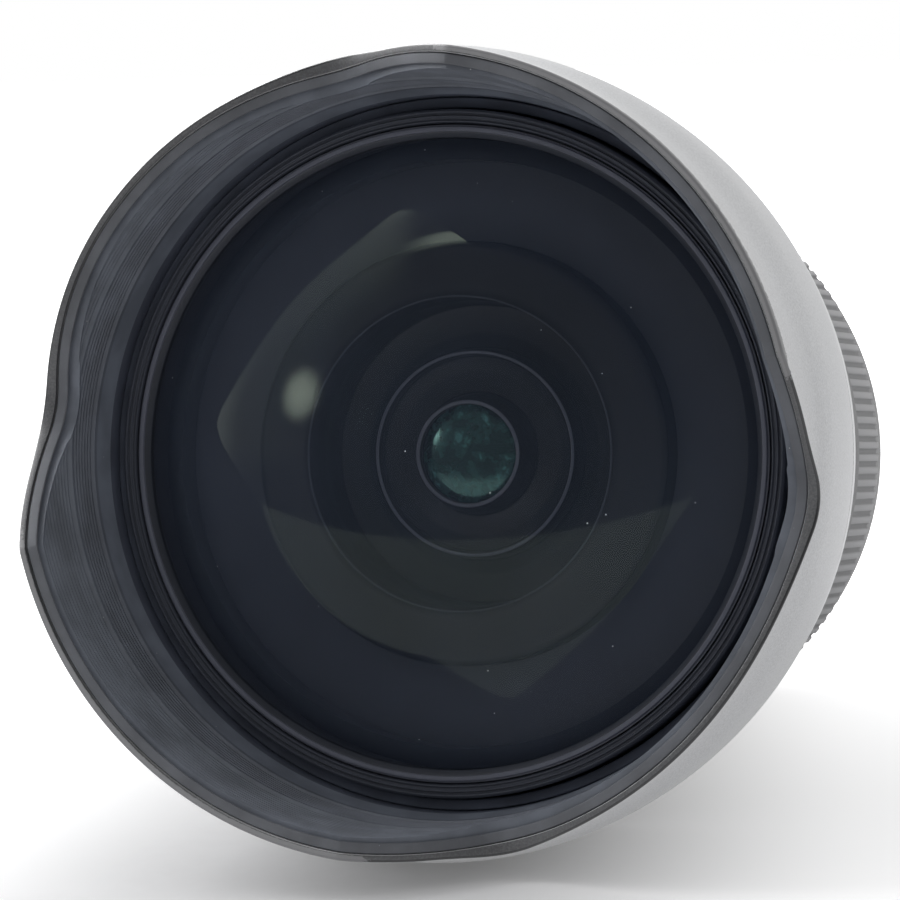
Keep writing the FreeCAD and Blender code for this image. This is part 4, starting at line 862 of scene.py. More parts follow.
@dataclass
class PetalHood:
    """Fixed hood: the worn satin shell, and the grooved lining inside it."""

    tip: float = 132.0
    rear: float = 87.3
    top_angle: float = TOP_ANGLE
    long_half_angle: float = 34.0
    notch_angle: float = 35.5
    short_depth: float = 6.4
    notch_depth: float = 13.4
    arch_power: float = 2.5
    ramp_power: float = 1.15
    notch_easing: float = 5.0
    tip_r: float = 48.0
    wide_r: float = 49.05
    wide_station: float = 115.0
    straight_station: float = 125.0
    rear_r: float = 45.5
    rear_bore_r: float = 43.85
    rear_bore_length: float = 6.0
    hollow_start: float = 13.0
    chamfer: float = 0.6
    bead_height: float = 0.62
    bead_length: float = 2.4
    lip_length: float = 1.2
    joint_r: float = 47.1
    bore_r: float = 46.15
    lining_mouth_r: float = 45.3
    lining_mouth: float = 130.9
    lining_step: float = 119.6
    lining_band: float = 112.9
    band_end: float = 108.9
    lining_rear: float = 100.05
    lining_bore_r: float = 43.5
    lining_outer_front: float = 116.0
    lining_flare: float = 1.35
    lining_setback: float = 0.3
    lining_edge: float = 0.2
    groove_pitch: float = 0.92
    groove_depth: float = 0.27
    groove_fade: float = 1.2
    crest_reach: float = 2.6
    seal_rear: float = 104.6
    seal_front: float = 106.6
    seal_depth: float = 1.35
    edge: float = 0.32
    body_rows: int = 64
    columns: int = 900

    def angles(self) -> np.ndarray:
        """Angles of the hood's columns."""
        return np.arange(self.columns) * FULL_TURN / self.columns

    def rim(self) -> np.ndarray:
        """Edge of the hood: arches over the short petals, ramps and flat tips on the long ones.

        Returns:
            Its station at each column.
        """
        offset = np.abs((self.angles() - self.top_angle) % 180.0 - 90.0)
        fall = self.notch_depth - self.short_depth
        arch = self.short_depth + fall * (offset / self.notch_angle) ** self.arch_power
        span = 90.0 - self.long_half_angle - self.notch_angle
        slope = np.maximum(1 - (offset - self.notch_angle) / span, 0.0)
        ramp = self.notch_depth * slope**self.ramp_power
        near = np.maximum(1 - np.abs(arch - ramp) / self.notch_easing, 0.0)
        return self.tip - np.minimum(arch, ramp) + near**2 * self.notch_easing / 4

    def outer(self, station: np.ndarray) -> np.ndarray:
        """Section of the shell's outside.

        Args:
            station: stations on it.

        Returns:
            The outer radius at each.
        """
        bend = self.straight_station - self.wide_station
        t = np.clip((self.straight_station - station) / bend, 0, 1)
        front = self.tip_r + (self.wide_r - self.tip_r) * t * t * (3 - 2 * t)
        share = (self.wide_station - station) / (self.wide_station - self.rear)
        back = self.wide_r - (self.wide_r - self.rear_r) * share**2
        return np.where(station >= self.wide_station, front, back)

    def rim_wear(self, rim: np.ndarray, below: float) -> np.ndarray:
        """Wear of the shell near its edge, strongest where the edge reaches forward.

        Args:
            rim: station of the edge at each column.
            below: distance behind the edge.

        Returns:
            How worn each column is, from 0 to 1.
        """
        forward = np.clip(1 - (self.tip - rim) / 2.5, 0.0, 1.0)
        patches = 0.55 + 0.45 * np.sin(np.radians(self.angles() * 7.0 + 40.0))
        fade = math.exp(-((below / 1.1) ** 2))
        return forward * (0.55 + 0.6 * patches) * fade + 0.14 * math.exp(-below)

    def build_shell(self) -> None:
        """Meshes and dresses the shell."""
        rim, edge, rear, bore = self.rim(), self.edge, self.rear, self.rear_bore_r
        section = Section(self.columns)

        def row(station: np.ndarray | float, radius: np.ndarray | float, below: float) -> None:
            """Adds one row, worn by its distance behind the edge."""
            section.row(station, radius, self.rim_wear(rim, below))

        far = 9.0
        foot = float(self.outer(np.array(rear + self.chamfer)))
        crown = self.rear_r + self.bead_height
        bead_front = rear + self.bead_length
        row(rear + self.rear_bore_length, bore, far)
        row(rear + 0.15, bore, far)
        row(rear, bore + 0.15, far)
        row(rear, self.rear_r - self.chamfer - 0.12, far)
        row(rear + 0.03, self.rear_r - self.chamfer + 0.03, far)
        row(rear + self.chamfer - 0.08, foot - 0.1, far)
        row(rear + self.chamfer, crown - 0.12, far)
        section.border()
        row(rear + self.chamfer + 0.15, crown, far)
        row(bead_front - 0.5, crown, far)
        row(bead_front - 0.38, crown - 0.05, far)
        row(bead_front - 0.06, foot + 0.12, far)
        section.border(ahead=1)
        for station in np.linspace(bead_front, self.tip - edge, self.body_rows):
            clipped = np.minimum(station, rim - edge)
            row(clipped, self.outer(clipped), max(0.0, self.tip - edge - station))
        lip = self.outer(rim - edge)
        for i in range(1, 5):
            t = math.radians(90.0 * i / 4)
            row(rim - edge + edge * math.sin(t), lip - edge * (1 - math.cos(t)), 0.0)
        section.border()
        row(rim, lip - edge - 0.25, 0.15)
        row(rim, self.joint_r + 0.2, 0.5)
        row(rim - 0.06, self.joint_r + 0.06, 2.0)
        section.border()
        row(rim - 0.25, self.joint_r, far)
        row(rim - self.lip_length, self.joint_r, far)
        row(rim - self.lip_length, self.bore_r, far)
        row(rear + self.hollow_start, self.bore_r, far)
        form = Form("petal_shell")
        # The bead's rows take the pale paint, a painted highlight
        paint, bead_highlight, lip_face = range(3)
        section.lay(form, self.angles(), (paint, bead_highlight, paint, lip_face, paint))
        finishes = [SHELL, SHELL_BEAD_HIGHLIGHT, SHELL_RIM]
        form.piece(Body.BARREL, finishes, ("hood_shell",), "shell_satin", crease=40.0)

    def lining_profile(self) -> Profile:
        """Bore of the lining from the mouth back: grooves, finer grooves and a plain band.

        Returns:
            Its (station, radius) pairs.
        """
        mouth, rear, band = self.lining_mouth, self.lining_rear, self.lining_band
        outline: Profile = [(mouth, self.lining_mouth_r)]
        station, depth, pitch = mouth, self.groove_depth, self.groove_pitch
        while station - pitch > self.lining_step:
            share = (mouth - station) / (mouth - rear)
            radius = self.lining_mouth_r - self.lining_flare * share
            outline += [
                (station - pitch * 0.25, radius),
                (station - pitch * 0.4, radius + depth),
                (station - pitch * 0.85, radius + depth * 0.8),
                (station - pitch, radius - 0.02),
            ]
            station -= pitch
        radius = outline[-1][1]
        outline += [(station - 0.1, radius - 0.28), (station - 0.35, radius - 0.32)]
        station -= 0.35
        radius -= 0.32
        while station - pitch > band:
            outline += [
                (station - pitch * 0.35, radius),
                (station - pitch * 0.5, radius + depth * 0.7),
                (station - pitch * 0.85, radius + depth * 0.7),
                (station - pitch, radius - 0.01),
            ]
            radius -= 0.01
            station -= pitch
        end, bore = self.band_end, self.lining_bore_r
        outline += [(station - 0.15, radius - 0.22), (band - 0.6, radius - 0.3)]
        outline += [(end, bore + 0.16), (end - 0.2, bore + 0.1), (rear + 4.0, bore + 0.05), (rear, bore)]
        return outline

    def groove_crests(self, profile: Profile) -> tuple[np.ndarray, np.ndarray]:
        """Plain wall over the grooves: stations, rising, and their smallest radii.

        Args:
            profile: bore of the lining from the mouth back.

        Returns:
            The stations and radii, for interpolation.
        """
        stations = np.array([station for station, _ in profile])[::-1]
        radii = np.array([radius for _, radius in profile])[::-1]
        near = [radii[np.abs(stations - station) < self.groove_pitch].min() for station in stations]
        offsets = np.linspace(-self.crest_reach, self.crest_reach, 9)
        even = [np.mean(np.interp(station + offsets, stations, near)) for station in stations]
        return stations, np.minimum(np.array(even), np.array(near))

    def build_seal(self) -> None:
        """Meshes the felt ring that closes the gap round the front cell."""
        inner_r, outer_r = self.lining_bore_r - self.seal_depth, self.lining_bore_r - 0.06
        rear, front = self.seal_rear, self.seal_front
        ring = [(rear, outer_r), (rear, inner_r), (front - 0.3, inner_r), (front, outer_r)]
        ring += [(rear + 0.1, outer_r)]
        form = Form("dust_seal")
        form.turn(eased(ring, 0.3, 3))
        form.piece(Body.BARREL, FELT, crease=60.0)

    def build_lining(self) -> None:
        """Meshes and dresses the lining."""
        rim, edge = self.rim() - self.lining_setback, self.lining_edge
        outer_r, inner_r = self.joint_r - 0.09, self.lining_mouth_r + 0.42
        mouth = rim - 0.95
        lip = Section(self.columns)
        lip.row(rim - 1.15, self.bore_r - 0.05)
        lip.row(rim - 1.15, outer_r)
        lip.row(rim - 0.12, outer_r)
        lip.row(rim, outer_r - 0.12)
        lip.row(rim, inner_r + edge)
        lip.row(rim - edge * 0.3, inner_r + edge * 0.3)
        lip.row(rim - edge, inner_r)
        lip.row(rim - 0.45, inner_r + 0.05)
        lip.row(rim - 0.5, inner_r + 0.25)
        lip.row(mouth, inner_r + 0.25)
        profile = self.lining_profile()
        crests = self.groove_crests(profile)
        smooth = np.interp(mouth, *crests)
        wall = Section(self.columns)
        wall.row(mouth, inner_r + 0.25)
        wall.row(mouth, smooth)
        limits = [self.lining_step, self.lining_band - 0.3, self.band_end + 0.01]
        for station, radius in profile:
            share = np.clip((mouth - station) / self.groove_fade, 0.0, 1.0)
            plain = np.interp(np.minimum(station, mouth), *crests)
            grooved = plain + (radius - plain) * share
            wall.row(np.minimum(station, mouth), np.where(station <= mouth, grooved, smooth))
            if limits and station < limits[0]:
                wall.border()
                limits.pop(0)
        form = Form("hood_lining")
        grooves, step, facet, band, deep = range(5)
        lip.lay(form, self.angles(), (facet,))
        wall.lay(form, self.angles(), (grooves, step, band, deep))
        rear, back_r = self.lining_rear, self.bore_r - 0.05
        back = [(rear, self.lining_bore_r), (rear, back_r), (self.lining_outer_front, back_r)]
        form.turn(back, self.columns, closed=False)
        # Behind the coarse grooves the wall takes painted shade, then painted light on the plain band,
        # then painted shade and light in the gap
        finishes = [LINING, LINING_SHADED, LINING_FACET, LINING_LIT_BAND, LINING_GAP_SHADE_AND_FILL]
        form.piece(Body.BARREL, finishes, ("hood_liner",), "hood_lining", crease=28.0)

    def build(self) -> None:
        """Makes the whole hood."""
        self.build_shell()
        self.build_lining()
        self.build_seal()


@dataclass
class FrontGlass:
    """Bulging front element in its cell, with what shows behind it."""

    ring_front: float = 109.4
    crest_r: float = 39.6
    dome_apex: float = 125.0
    dome_r: float = 38.3
    dome_sphere_r: float = 50.85
    edge_r: float = 38.9
    dome_edge: float = 107.6
    dome_rear: float = 103.6
    hollow_r: float = 25.0
    hollow_apex: float = 117.0
    hollow_sphere_r: float = 30.02
    bevel_rear: float = 107.62
    bevel_r: float = 38.45
    cell_rear: float = 96.5
    cell_bore_r: float = 36.1
    cell_r: float = 41.85
    outer_lip_r: float = 19.42
    middle_lip_r: float = 12.78
    inner_lip_r: float = 6.62
    eye_apex: float = 100.0
    eye_sphere_r: float = 16.0
    eye_r: float = 6.1
    ring_columns: int = 480
    well_columns: int = 300
    eye_columns: int = 200

    def build_dome(self) -> None:
        """Meshes the front element: its bulging face, edge and hollow back."""
        face = sphere_cap(self.dome_apex, self.dome_sphere_r, self.dome_r, 90)
        edge = [(self.dome_rear, self.hollow_r), (self.dome_rear, self.edge_r)]
        edge += [(self.dome_edge, self.edge_r), face[0]]
        hollow = sphere_cap(self.hollow_apex, self.hollow_sphere_r, self.hollow_r, 60)
        form = Form("front_dome")
        coated, plain = range(2)
        form.turn(face, closed=False, tone=coated)
        form.turn(eased(edge, 0.2, 2), closed=False, tone=plain)
        form.turn(hollow, closed=False, tone=plain)
        finishes = [DOME_GLASS, HOLLOW_GLASS]
        form.piece(Body.FRONT_GROUP, finishes, ("front_element",), "glass_front", crease=60.0)

    def build_ring(self) -> None:
        """Meshes the retaining ring: a dark bevel at the dome and a paler ridge round it, a painted
        highlight.
        """
        front, crest = self.ring_front, self.crest_r
        foot = (self.bevel_rear, self.bevel_r)
        bevel = [foot, (108.5, 38.42), (front - 0.42, crest - 0.62), (front - 0.36, crest - 0.5)]
        ridge = [
            (front - 0.36, crest - 0.5),
            (front - 0.05, crest - 0.44),
            (front, crest - 0.38),
            (front, crest + 0.04),
            (front - 0.1, crest + 0.12),
            (front - 0.5, crest + 0.16),
            (front - 0.5, crest + 0.34),
            (self.bevel_rear + 0.03, crest + 0.36),
            foot,
        ]
        form = Form("front_ring")
        ridge_glint, dark = range(2)
        form.turn(eased(bevel, 0.08, 2), self.ring_columns, closed=False, tone=dark)
        form.turn(eased(ridge, 0.05, 2), self.ring_columns, closed=False, tone=ridge_glint)
        finishes = [RIDGE_HIGHLIGHT, BEVEL]
        form.piece(Body.FRONT_GROUP, finishes, ("front_retainer",), "anodised_black", crease=45.0)

    def build_cell(self) -> None:
        """Meshes the cell that holds the dome, with the stepped rings of its face."""
        face, rear = self.ring_front - 0.2, self.cell_rear
        bore, outer = self.cell_bore_r, self.cell_r
        seat_r = self.edge_r + 0.05
        steps = [(0.0, 0.28), (0.0, 0.42), (0.35, 0.55), (0.35, 0.72), (0.0, 0.82), (0.0, 0.94)]
        steps += [(0.3, 1.08), (0.3, 1.3), (0.05, 1.42), (0.05, 1.55), (0.4, 1.72)]
        cell = [(101.0, seat_r), (self.dome_rear - 0.05, bore), (rear + 0.3, bore)]
        cell += [(rear, bore + 0.3), (rear, outer - 0.3), (rear + 0.3, outer), (face - 0.3, outer)]
        cell += [(face - sunk, outer - inward) for sunk, inward in steps]
        cell += [(107.5, outer - 1.8), (107.5, seat_r)]
        form = Form("front_cell_rings")
        form.turn(eased(cell, 0.07, 2), self.ring_columns)
        form.piece(Body.FRONT_GROUP, ANODISED, ("front_cell",), "anodised_black", crease=40.0)

    def build_well(self) -> None:
        """Meshes the stepped baffles and the small lens that show through the dome."""
        # The lips take the paler ridge finishes, painted highlights
        baffle, highlight_lip, eye, faint_highlight_lip = range(4)
        outer, middle, inner = self.outer_lip_r, self.middle_lip_r, self.inner_lip_r
        outer_lip = [(104.2, outer), (104.3, outer - 0.06), (104.3, outer - 0.16), (104.22, outer - 0.22)]
        middle_lip = [(97.2, middle), (97.32, middle - 0.1), (97.32, middle - 0.3), (97.2, middle - 0.4)]
        inner_lip = [(100.2, inner), (100.3, inner - 0.12), (100.3, inner - 0.34), (100.2, inner - 0.46)]
        well = [(97.0, 26.1), (102.9, 26.1), (103.3, 25.4), (103.4, 24.6), (103.9, 20.2), outer_lip[0]]
        moat = [outer_lip[-1], (98.0, 18.9), (93.2, 18.6), (92.6, 15.0), (93.4, 13.2), middle_lip[0]]
        cup = [middle_lip[-1], (95.4, 12.2), (94.6, 10.4), (95.2, 7.6), inner_lip[0]]
        seat = [inner_lip[-1], (self.eye_apex - 0.8, self.eye_r)]
        lens = sphere_cap(self.eye_apex, self.eye_sphere_r, self.eye_r, 20)
        stages = [
            (eased(well, 0.2, 2), baffle),
            (outer_lip, faint_highlight_lip),
            (eased(moat, 0.3, 2), baffle),
            (middle_lip, highlight_lip),
            (eased(cup, 0.3, 2), baffle),
            (inner_lip, highlight_lip),
            (seat, baffle),
        ]
        form = Form("inner_baffles")
        for profile, tone in stages:
            form.turn(profile, self.well_columns, closed=False, tone=tone)
        form.turn(lens, self.eye_columns, closed=False, tone=eye)
        finishes = [WELL, RIDGE_HIGHLIGHT, EYE_GLASS, FAINT_RIDGE_HIGHLIGHT]
        nodes = ("second_element", "second_retainer")
        form.piece(Body.FRONT_GROUP, finishes, nodes, "anodised_black", crease=50.0)

    def build(self) -> None:
        """Makes the front group's visible pieces."""
        self.build_dome()
        self.build_ring()
        self.build_cell()
        self.build_well()


@dataclass
class RibbedGrip:
    """Rubber sleeve with ribs along the axis, and a plain lip where it has one."""

    name: str
    body: Body
    node: str
    rear: float
    rib_front: float
    front: float
    bore_r: float
    outer_r: float
    depth: float
    count: int
    lip_drop: float = 0.0

    def rib_section(self) -> tuple[np.ndarray, np.ndarray]:
        """Section of all the ribs.

        Returns:
            The angles of its corners in degrees, and their heights from 0 to 1.
        """
        corners = [(0.0, 0.0), (0.29, 0.0), (0.335, 0.14), (0.38, 0.76), (0.44, 1.0)]
        corners += [(0.86, 1.0), (0.92, 0.76), (0.965, 0.14)]
        pitch = FULL_TURN / self.count
        angles = [pitch * (i + share) for i in range(self.count) for share, _ in corners]
        return np.array(angles), np.array([height for _, height in corners] * self.count)

    def build(self) -> None:
        """Meshes and dresses the sleeve."""
        angles, heights = self.rib_section()
        root = self.outer_r - self.depth
        # Station, radius between the ribs, and how much of the ribs' height stands there
        rows: list[tuple[float, float, float]] = [
            (self.rear, self.bore_r, 0.0),
            (self.rear, root - 0.3, 0.0),
            (self.rear + 0.06, root - 0.08, 0.25),
            (self.rear + 0.2, root, 0.78),
            (self.rear + 0.45, root, 1.0),
            (self.rib_front - 0.45, root, 1.0),
            (self.rib_front - 0.2, root, 0.78),
        ]
        if self.lip_drop:
            lip = self.outer_r - self.lip_drop
            rows += [
                (self.rib_front + 0.1, lip - 0.02, 0.12),
                (self.rib_front + 0.3, lip, 0.0),
                (self.front - 0.4, lip, 0.0),
                (self.front - 0.12, lip - 0.1, 0.0),
                (self.front, lip - 0.35, 0.0),
            ]
        else:
            rows += [(self.front - 0.06, root - 0.08, 0.25), (self.front, root - 0.3, 0.0)]
        rows += [(self.front, self.bore_r, 0.0), rows[0]]
        stations = np.array([row[0] for row in rows])[:, None]
        crests = np.array([[row[2]] for row in rows]) * heights[None, :]
        radii = np.array([[row[1]] for row in rows]) + crests * self.depth
        form = Form(self.name)
        # The ribs' heights go in as wear too, which strengthens the rubber's painted sheen on their
        # crests
        form.sheet(stations, radii, angles[None, :], wear=crests)
        form.piece(self.body, RUBBER, (self.node,), "rubber_black", crease=50.0)


@dataclass
class Lettering:
    """Plain numbers and marks laid onto a turned surface."""

    radius: float
    height: float = 2.3
    thickness: float = 0.02

    def glyphs(self, text: str) -> tuple[np.ndarray, np.ndarray]:
        """Flat outline of a text, centred.

        Args:
            text: the characters.

        Returns:
            Its points, in units of its height, and its four-cornered faces.
        """
        curve = bpy.data.curves.new("glyphs", "FONT")
        curve.body, curve.align_x, curve.align_y = text, "CENTER", "CENTER"
        curve.resolution_u = 6
        holder = bpy.data.objects.new("glyphs", curve)
        bpy.context.scene.collection.objects.link(holder)
        bpy.context.view_layer.update()
        evaluated = holder.evaluated_get(bpy.context.evaluated_depsgraph_get())
        shape = bpy.data.meshes.new_from_object(evaluated)
        points = [tuple(vertex.co[:2]) for vertex in shape.vertices]
        quads = []
        for face in (list(polygon.vertices) for polygon in shape.polygons):
            for second, third in zip(face[1:], face[2:]):
                points.append(tuple((a + b) / 2 for a, b in zip(points[face[0]], points[third])))
                quads.append([face[0], second, third, len(points) - 1])
        bpy.data.objects.remove(holder)
        bpy.data.curves.remove(curve)
        bpy.data.meshes.remove(shape)
        return np.array(points), np.array(quads)

    def write(self, form: Form, text: str, station: float, angle: float, slope: float = 0.0) -> None:
        """Adds a text that reads upright with the mount below it.

        Args:
            form: the form that takes it.
            text: the characters.
            station: station of its middle.
            angle: angle of its middle, in degrees.
            slope: growth of the surface's radius for each millimetre forward.
        """
        points, quads = self.glyphs(text)
        across, along = points[:, 0] * self.height, points[:, 1] * self.height
        radius = self.radius + slope * along + self.thickness
        turn = math.radians(angle) + across / self.radius
        form.add(placed(station + along, radius, turn), quads)

    def bar(self, form: Form, rear: float, front: float, angle: float, width: float) -> None:
        """Adds a line along the axis.

        Args:
            form: the form that takes it.
            rear: its rear end.
            front: its front end.
            angle: its angle in degrees.
            width: its width in millimetres.
        """
        half = math.degrees(width / 2 / self.radius)
        turns = np.linspace(angle - half, angle + half, 3)[None, :]
        stations = np.array([[rear], [front]])
        form.sheet(stations, np.full((2, 3), self.radius + self.thickness), turns, looped=False)


@dataclass
class ControlRings:
    """Zoom and focus rings: painted sleeves, ribbed grips and the zoom ring's numbers."""

    sleeve_bore_r: float = 36.14
    sleeve_r: float = SLEEVE_R
    zoom_rear: float = 34.3
    zoom_front: float = 56.0
    focus_rear: float = 62.5
    focus_front: float = 83.0
    grip_bore_r: float = SLEEVE_R + 0.05
    top_angle: float = TOP_ANGLE
    zoom_turn: float = 70.0
    focal_lengths: tuple[str, ...] = ("14", "16", "18", "20", "24")
    number_station: float = 53.6
    tick_rear: float = 55.3
    tick_front: float = 55.85
    tick_width: float = 0.3

    def build_sleeve(self, name: str, body: Body, node: str, rear: float, front: float) -> None:
        """Meshes one ring's sleeve.

        Args:
            name: the piece's name.
            body: the ring's body.
            node: the CAD node that it replaces.
            rear: its rear station.
            front: its front station.
        """
        middle = (rear + front) / 2
        outline = [
            (middle, self.sleeve_bore_r),
            (rear, self.sleeve_bore_r),
            (rear, self.sleeve_r),
            (front, self.sleeve_r),
            (front, self.sleeve_bore_r),
            (middle + 0.1, self.sleeve_bore_r),
        ]
        form = Form(name)
        form.turn(eased(outline, 0.22, 3))
        form.piece(body, BARREL, (node,), "barrel_satin")

    def build_numbers(self) -> None:
        """Prints the zoom scale in front of the zoom grip."""
        lettering = Lettering(self.sleeve_r)
        form = Form("zoom_scale")
        for step, text in enumerate(self.focal_lengths):
            angle = self.top_angle - self.zoom_turn * step / (len(self.focal_lengths) - 1)
            lettering.write(form, text, self.number_station, angle)
            lettering.bar(form, self.tick_rear, self.tick_front, angle, self.tick_width)
        form.piece(Body.ZOOM_RING, WHITE_INK)

    def build(self) -> None:
        """Makes both rings."""
        zoom, focus = Body.ZOOM_RING, Body.FOCUS_RING
        self.build_sleeve("zoom_skin", zoom, "zoom_sleeve", self.zoom_rear, self.zoom_front)
        self.build_sleeve("focus_skin", focus, "focus_sleeve", self.focus_rear, self.focus_front)
        RibbedGrip(
            "zoom_rubber",
            zoom,
            "zoom_grip",
            rear=ZOOM_GRIP_REAR,
            rib_front=48.2,
            front=51.6,
            bore_r=self.grip_bore_r,
            outer_r=ZOOM_GRIP_R,
            depth=0.3,
            count=144,
            lip_drop=0.03,
        ).build()
        RibbedGrip(
            "focus_rubber",
            focus,
            "focus_grip",
            rear=63.7,
            rib_front=81.8,
            front=81.8,
            bore_r=self.grip_bore_r,
            outer_r=39.24,
            depth=0.6,
            count=90,
        ).build()
        self.build_numbers()


@dataclass
class FixedBarrel:
    """Fixed rings of the barrel between the hood, the control rings and the mount."""

    sleeve_r: float = SLEEVE_R
    bearing_r: float = 36.07
    bearing_bore_r: float = 34.77
    bearing_rear: float = 49.3
    bearing_front: float = 83.3
    collar_rear: float = 56.3
    collar_front: float = 62.2
    web_front: float = 85.8
    web_bore_r: float = 31.2
    shoulder_r: float = 39.54
    spigot_rear: float = 86.7
    spigot_front: float = 99.5
    spigot_r: float = 43.8
    spigot_bore_r: float = 42.2
    top_angle: float = TOP_ANGLE
    index_width: float = 0.5
    panel_angle: float = TOP_ANGLE + 90.0
    panel_r: float = 34.5
    panel_slope: float = 0.236
    switch_stations: tuple[float, ...] = (11.5, 19.5)
    legend_height: float = 1.9
    legend_turn: float = 12.4

    def build_collar(self) -> None:
        """Meshes the collar between the two rings, with its index line."""
        rear, front, bore = self.bearing_rear, self.bearing_front, self.bearing_bore_r
        outline = [
            (60.0, bore),
            (rear, bore),
            (rear, self.bearing_r),
            (self.collar_rear, self.bearing_r),
            (self.collar_rear, self.sleeve_r),
            (self.collar_front, self.sleeve_r),
            (self.collar_front, self.bearing_r),
            (front, self.bearing_r),
            (front, bore),
            (60.1, bore),
        ]
        form = Form("collar")
        form.turn(eased(outline, 0.25, 3))
        form.piece(Body.BARREL, BARREL, ("middle_barrel",), "barrel_satin")
        line, start, end = Form("zoom_index"), self.collar_rear + 0.35, self.collar_rear + 3.2
        Lettering(self.sleeve_r).bar(line, start, end, self.top_angle, self.index_width)
        line.piece(Body.BARREL, WHITE_INK)

    def build_front_web(self) -> None:
        """Meshes the barrel that carries the hood."""
        outline = [
            (84.5, self.web_bore_r),
            (self.bearing_front, self.web_bore_r),
            (self.bearing_front, self.shoulder_r),
            (self.spigot_rear, self.spigot_r),
            (self.spigot_front, self.spigot_r),
            (self.spigot_front, self.spigot_bore_r),
            (self.web_front, self.spigot_bore_r),
            (self.web_front, self.web_bore_r),
            (84.6, self.web_bore_r),
        ]
        form = Form("hood_carrier")
        form.turn(eased(outline, 0.3, 3))
        form.piece(Body.BARREL, BARREL, ("front_barrel",), "barrel_satin")

    def build_legends(self) -> None:
        """Prints ON and OFF beside the two switches on the rear panel."""
        form = Form("switch_legends")
        for station in self.switch_stations:
            radius = self.panel_r + self.panel_slope * (station - self.switch_stations[0])
            lettering = Lettering(radius, self.legend_height)
            for text, side in (("OFF", 1), ("ON", -1)):
                angle = self.panel_angle + side * self.legend_turn
                lettering.write(form, text, station, angle, self.panel_slope)
        form.piece(Body.BARREL, WHITE_INK)

    def build(self) -> None:
        """Makes the barrel's fixed rings and the panel's legends."""
        self.build_collar()
        self.build_front_web()
        self.build_legends()


@dataclass
class CarriedNodes:
    """CAD nodes: each gets its finish, and those that show get softened edges."""

    bevelled: tuple[str, ...] = (
        "rear_barrel",
        "mount_ring",
        "mount_screws",
        "mount_gasket",
        "rear_baffle",
        "contact_block",
        "contact_pins",
        "index_bead",
        "switch_panel",
        "hold_button",
        "focus_switch",
        "range_switch",
        "rear_retainer",
        "rear_frame",
    )
    edge: float = 0.12
    edge_steps: int = 2
    edge_angle: float = 40.0
    weld: float = 0.001

    def build(self, nodes: dict[str, bpy.types.Object], record: dict) -> None:
        """Dresses every node, also those that a piece stands for.

        Args:
            nodes: the frame's CAD nodes.
            record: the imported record.
        """
        slots = {row["node"]: row["material_slot"] for row in record["subparts"]}
        for name, node in nodes.items():
            finish = SLOT_FINISHES[slots[name]].material()
            node.data.materials.clear()
            node.data.materials.append(finish)
            if name in self.bevelled:
                self.soften(node)
            log.info("%s: CAD node in %s", name, slots[name])

    def soften(self, node: bpy.types.Object) -> None:
        """Rounds a node's sharp edges with modifiers and leaves its mesh untouched.

        Args:
            node: the node.
        """
        weld = node.modifiers.new("weld", "WELD")
        weld.merge_threshold = self.weld * MM
        bevel = node.modifiers.new("edges", "BEVEL")
        bevel.width = self.edge * MM
        bevel.segments = self.edge_steps
        bevel.limit_method = "ANGLE"
        bevel.angle_limit = math.radians(self.edge_angle)
        normals = node.modifiers.new("normals", "WEIGHTED_NORMAL")
        normals.keep_sharp = True


# Studio


@dataclass(frozen=True)
class Softbox:
    """Area lamp that faces the lens from a direction.

    Its sizes are in metres, and its level is the brightness of its face.
    """

    name: str
    direction: tuple[float, float, float]
    distance: float
    width: float
    height: float
    level: float

    def build(self, target: Vector) -> None:
        """Hangs the lamp, unseen by the camera and in mirrors.

        Args:
            target: point that it faces, in metres.
        """
        lamp = bpy.data.lights.new(self.name, "AREA")
        lamp.shape = "RECTANGLE"
        lamp.size, lamp.size_y = self.width, self.height
        lamp.energy = self.level * math.pi * self.width * self.height
        holder = bpy.data.objects.new(self.name, lamp)
        bpy.context.scene.collection.objects.link(holder)
        towards = Vector(self.direction).normalized()
        holder.location = target + towards * self.distance
        holder.rotation_euler = towards.to_track_quat("Z", "Y").to_euler()
        holder.visible_camera = False
        holder.visible_glossy = False


